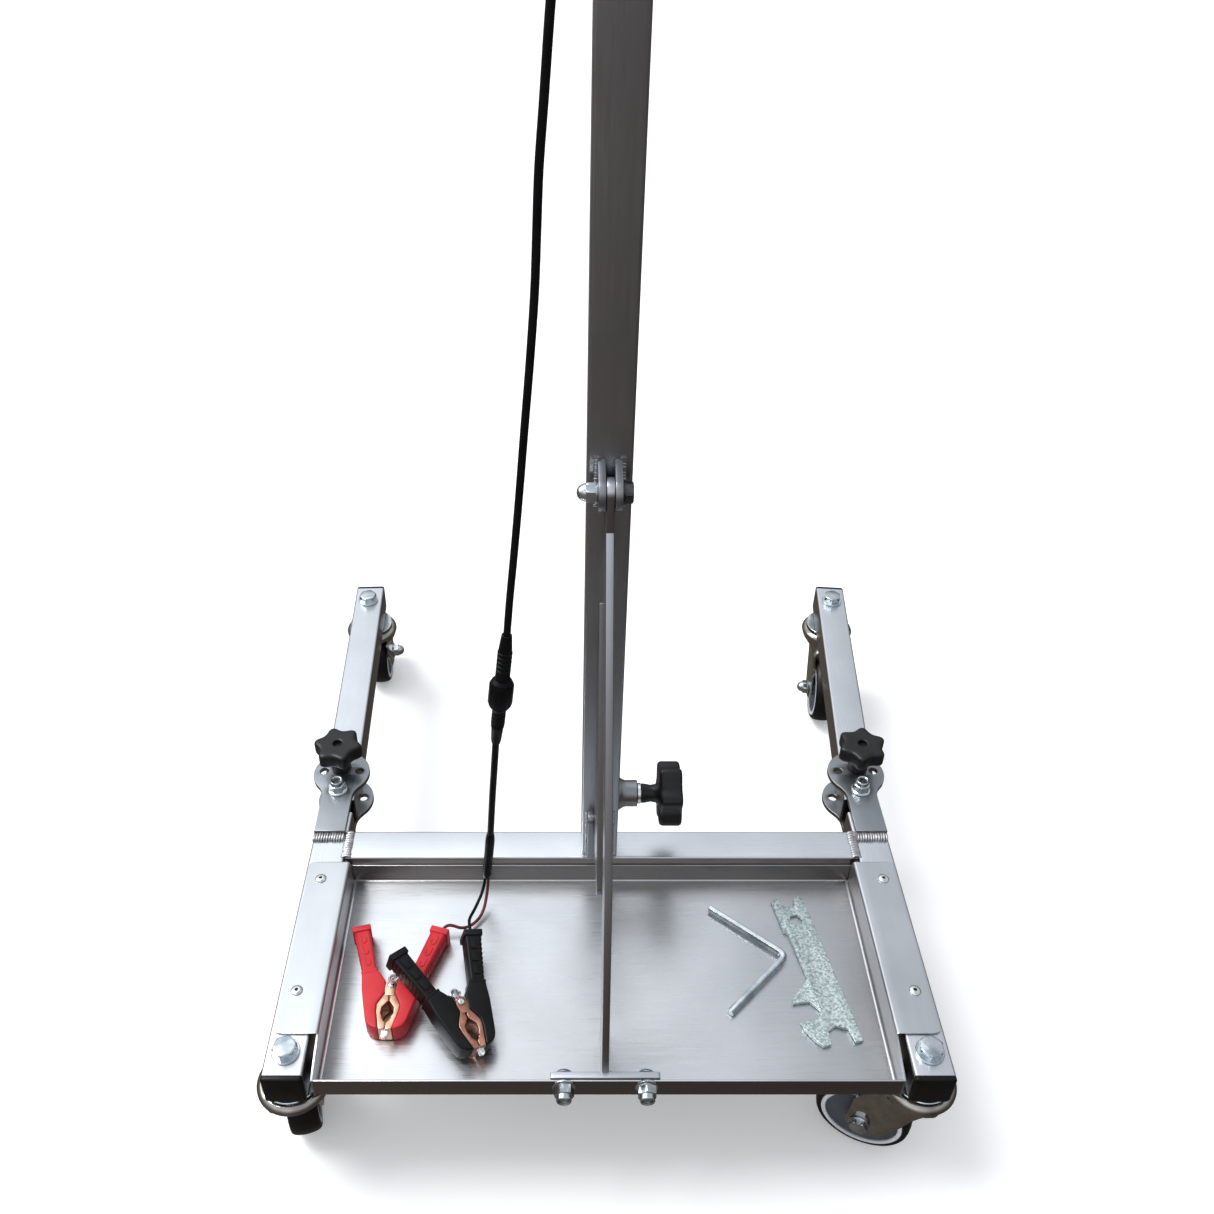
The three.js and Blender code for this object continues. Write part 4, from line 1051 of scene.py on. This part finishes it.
def marks(shape, sign, place, color):
    """Raised grip marks along the handle: hooks on the red sleeve, bars on the black one."""
    for k in range(3):
        t0, t1 = 0.17 + 0.235 * k, 0.34 + 0.235 * k

        def spot(t, u):
            a, b = along_handle(t)
            p = a.lerp(b, u)
            return (sign * p.x, p.y, 15.9)

        if color == "red":
            path = [spot(t, u) for t, u in ((t1, 0.36), (t0 + 0.03, 0.36), (t0, 0.44), (t0, 0.56),
                (t0 + 0.03, 0.64), (t0 + 0.09, 0.64))]
            shape.sweep(path, circle(0, 0, 0.6, 8), place)
        else:
            flat = [spot(t, u)[:2] for t, u in ((t0, 0.3), (t1, 0.3), (t1, 0.7), (t0, 0.7))]
            shape.plate([flat if sign > 0 else flat[::-1]], 1.4, place @ at(0, 0, 15.3), 0.4, 1)
    for k in range(9):
        t = 0.12 + 0.085 * k
        a, b = along_handle(t, 0.95)
        c, _ = along_handle(t + 0.045, 0.95)
        out = (a - b).normalized() * 0.2
        quad = [a + out, c + out, c - out * 4, a - out * 4]
        shape.plate([mirrored(quad, sign)], 13 if color == "black" else 9, place
            @ at(0, 0, 2 if color == "black" else 4), 0.25, 1)


def clip(color, place, look):
    slot = f"{color}_grip"
    clip_half(color, -1, place, f"lever_{color}", look, slot, f"clip_{color}_lever")
    clip_half(color, 1, place, "base", look, slot, f"clip_{color}_body")
    rivet = Shape().turned([(0, 0.3), (3.4, 0.3), (3.4, 1.0), (2.0, 1.4), (2.0, 16.2), (2.9, 16.4),
        (2.9, 16.9), (2.4, 17.6), (1.5, 18.0), (1.1, 18.0), (0.9, 17.4), (0, 17.4)], place, 28)
    coil = []
    for i in range(COIL_STEPS * COIL_TURNS + 1):
        a = 2 * pi * i / COIL_STEPS
        coil.append((COIL_RADIUS * cos(a), COIL_Y + COIL_RADIUS * sin(a), 2.6 + COIL_PITCH * i
            / COIL_STEPS))
    rivet.sweep(coil, circle(0, 0, 0.7, 8), place)
    ears = Shape()
    for z in (0.8, 15.5):
        ears.plate([rounded([(-3.4, -9), (3.4, -9), (4.6, -3), (4.2, 2), (1.8, 4.4), (-1.8, 4.4),
            (-4.2, 2), (-4.6, -3)], 1.6)], 1.1, place @ at(0, 0, z), 0.3, 1)
    emit(f"clip_{color}_rivet", rivet, POLISHED, "zinc")
    emit(f"clip_{color}_ears", ears, COPPER[color], slot)
    tab = Shape().plate([rounded([(-2.6, -36), (2.6, -36), (3.2, -41.5), (1.2, -43.2), (-2.2, -43)],
        1.2)], 1.2, place @ at(0, 0, 13.2), 0.3, 1)
    emit(f"clip_{color}_tab", tab, POLISHED, "zinc")


RED_PLACE = at(-166.5, 81, TRAY_FLOOR + GAP, -1.4)
LEAN_UP = Vector((0.28, -0.08, 1)).normalized()
LEAN_TURN = radians(28)


def black_place():
    ahead = Vector((-sin(LEAN_TURN), cos(LEAN_TURN), 0))
    right = ahead.cross(LEAN_UP).normalized()
    ahead = LEAN_UP.cross(right)
    basis = Matrix((right, ahead, LEAN_UP)).transposed().to_4x4()
    return at(-114.3, 62, 110.6) @ basis


# ---- loose tools
def tools():
    z = TRAY_FLOOR + GAP + 3
    corner = Vector((148.4, 117, z))
    ends = [Vector((91, 163.5, z)), Vector((97, 65.4, z))]
    into, out_of = [corner.lerp(end, 8 / (corner - end).length) for end in ends]
    path = [ends[0].lerp(into, k / 6) for k in range(6)]
    path += pulled(into, corner, out_of, 14)
    path += [out_of.lerp(ends[1], k / 6) for k in range(1, 7)]
    corner_radius = 6 / sqrt(3)
    section = rounded([(corner_radius * sin(radians(60 * k)), corner_radius * cos(radians(60 * k)))
        for k in range(6)], 0.5, 2)
    count = len(path) - 1
    emit("hex_key_bar", Shape().sweep(path, section, None, lambda i: 0.93 if i in (0, count)
        else 1.0), ZINC, "zinc", "hex_key", sharp=25)
    outline = [(-5.5, 0), (27, 0.6), (79, 0), (131.5, 0), (131.5, -6.3), (120, -7.7),
        (115.6, -16.2), (119.1, -23.7), (130.1, -25), (130.3, -32), (126, -35.4), (120.1, -38.4),
        (114, -41), (107.2, -42), (107.9, -27.6), (101, -22.9), (91.9, -28.8), (91.1, -42.1),
        (86, -39.6), (81, -34.4), (76, -27.4), (71.7, -23.2), (28.7, -23.3), (26.3, -26.2),
        (-6.6, -26.2), (-6.6, -19.7), (2.6, -17.6), (3.4, -9.4), (-5.5, -6.3)]
    hole = arc(16.7, -12.3, 5.8, 30, 330, 5)
    place = at(170.9, 171, TRAY_FLOOR + GAP, -79)
    emit("spanner_plate", Shape().plate([rounded(outline, 0.8, 3), hole], 3, place, 0.4), SPANGLE,
        "galvanised", "flat_spanner")


frame_tubes()
tray()
hinge_plates()
casters()
mast()
brace()
clip("red", RED_PLACE, RED_GRIP)
clip("black", black_place(), BLACK_GRIP)
tools()

# ---- floor and light
floor_mesh = bpy.data.meshes.new("floor")
FLOOR = 8
floor_mesh.from_pydata([(FLOOR * x, FLOOR * y, 0) for x, y in ((-1, -1), (1, -1), (1, 1), (-1, 1))],
    [], [(0, 1, 2, 3)])
floor = put("floor", floor_mesh)
paper = Look("paper", 0.9, 0.8)
paper.color(paper.noise(3), 0.897, 0.903)
paper.shader["Emission Color"].default_value = (1, 1, 1, 1)
paper.shader["Emission Strength"].default_value = 0.22
floor_mesh.materials.append(paper.material)
floor.visible_glossy = False


def lamp(name, place, target, size, watts):
    data = bpy.data.lights.new(name, "AREA")
    data.shape = "RECTANGLE"
    data.size, data.size_y = size
    data.energy = watts
    light = put(name, data)
    light.location = place
    light.visible_camera = False
    light.rotation_euler = (Vector(target) - Vector(place)).to_track_quat("-Z", "Y").to_euler()


lamp("top_box", (-0.6, 0.9, 2.6), (-0.1, 0.1, 0.1), (2.2, 1.6), 6)
lamp("left_box", (-2.0, 0.2, 1.5), (0, 0, 0.2), (1.6, 1.2), 11)
sun_data = bpy.data.lights.new("key", "SUN")
sun_data.energy = 1.65
sun_data.angle = radians(24)
sun = put("key", sun_data)
sun.rotation_euler = Vector((-0.55, 0.12, 1)).to_track_quat("Z", "Y").to_euler()

world = bpy.data.worlds.new("studio")
bpy.context.scene.world = world
world.use_nodes = True
tree = world.node_tree
background = tree.nodes["Background"]
direction = node(tree, "TexCoord", {})
split = node(tree, "SeparateXYZ", {"Vector": direction.outputs["Generated"]})
ramp = node(tree, "ValToRGB", {})
level = node(tree, "MapRange", {"From Min": -1, "Value": split.outputs["Z"]})
tree.links.new(level.outputs["Result"], ramp.inputs["Fac"])
stops = ramp.color_ramp.elements
stops[0].position, stops[0].color = 0.40, (0.17, 0.15, 0.135, 1)
stops[1].position, stops[1].color = 0.97, (0.92, 0.96, 1.02, 1)
for where, tone in ((0.52, (0.26, 0.245, 0.235, 1)), (0.66, (0.58, 0.58, 0.59, 1)),
        (0.80, (1.18, 1.23, 1.29, 1))):
    stops.new(where).color = tone
tree.links.new(ramp.outputs["Color"], background.inputs["Color"])
across = node(tree, "MapRange", {"From Min": -0.25, "From Max": 0.35, "To Min": 0.95,
    "To Max": 0.56, "Value": split.outputs["X"]})
tree.links.new(across.outputs["Result"], background.inputs["Strength"])
backdrop = node(tree, "Background", {"Color": (0.93, 0.93, 0.93, 1)})
rays = node(tree, "LightPath", {})
choose = node(tree, "MixShader", {0: rays.outputs["Is Camera Ray"], 1: background.outputs[0],
    2: backdrop.outputs[0]})
tree.links.new(choose.outputs[0], tree.nodes["World Output"].inputs["Surface"])

bpy.context.scene.view_settings.view_transform = "Standard"
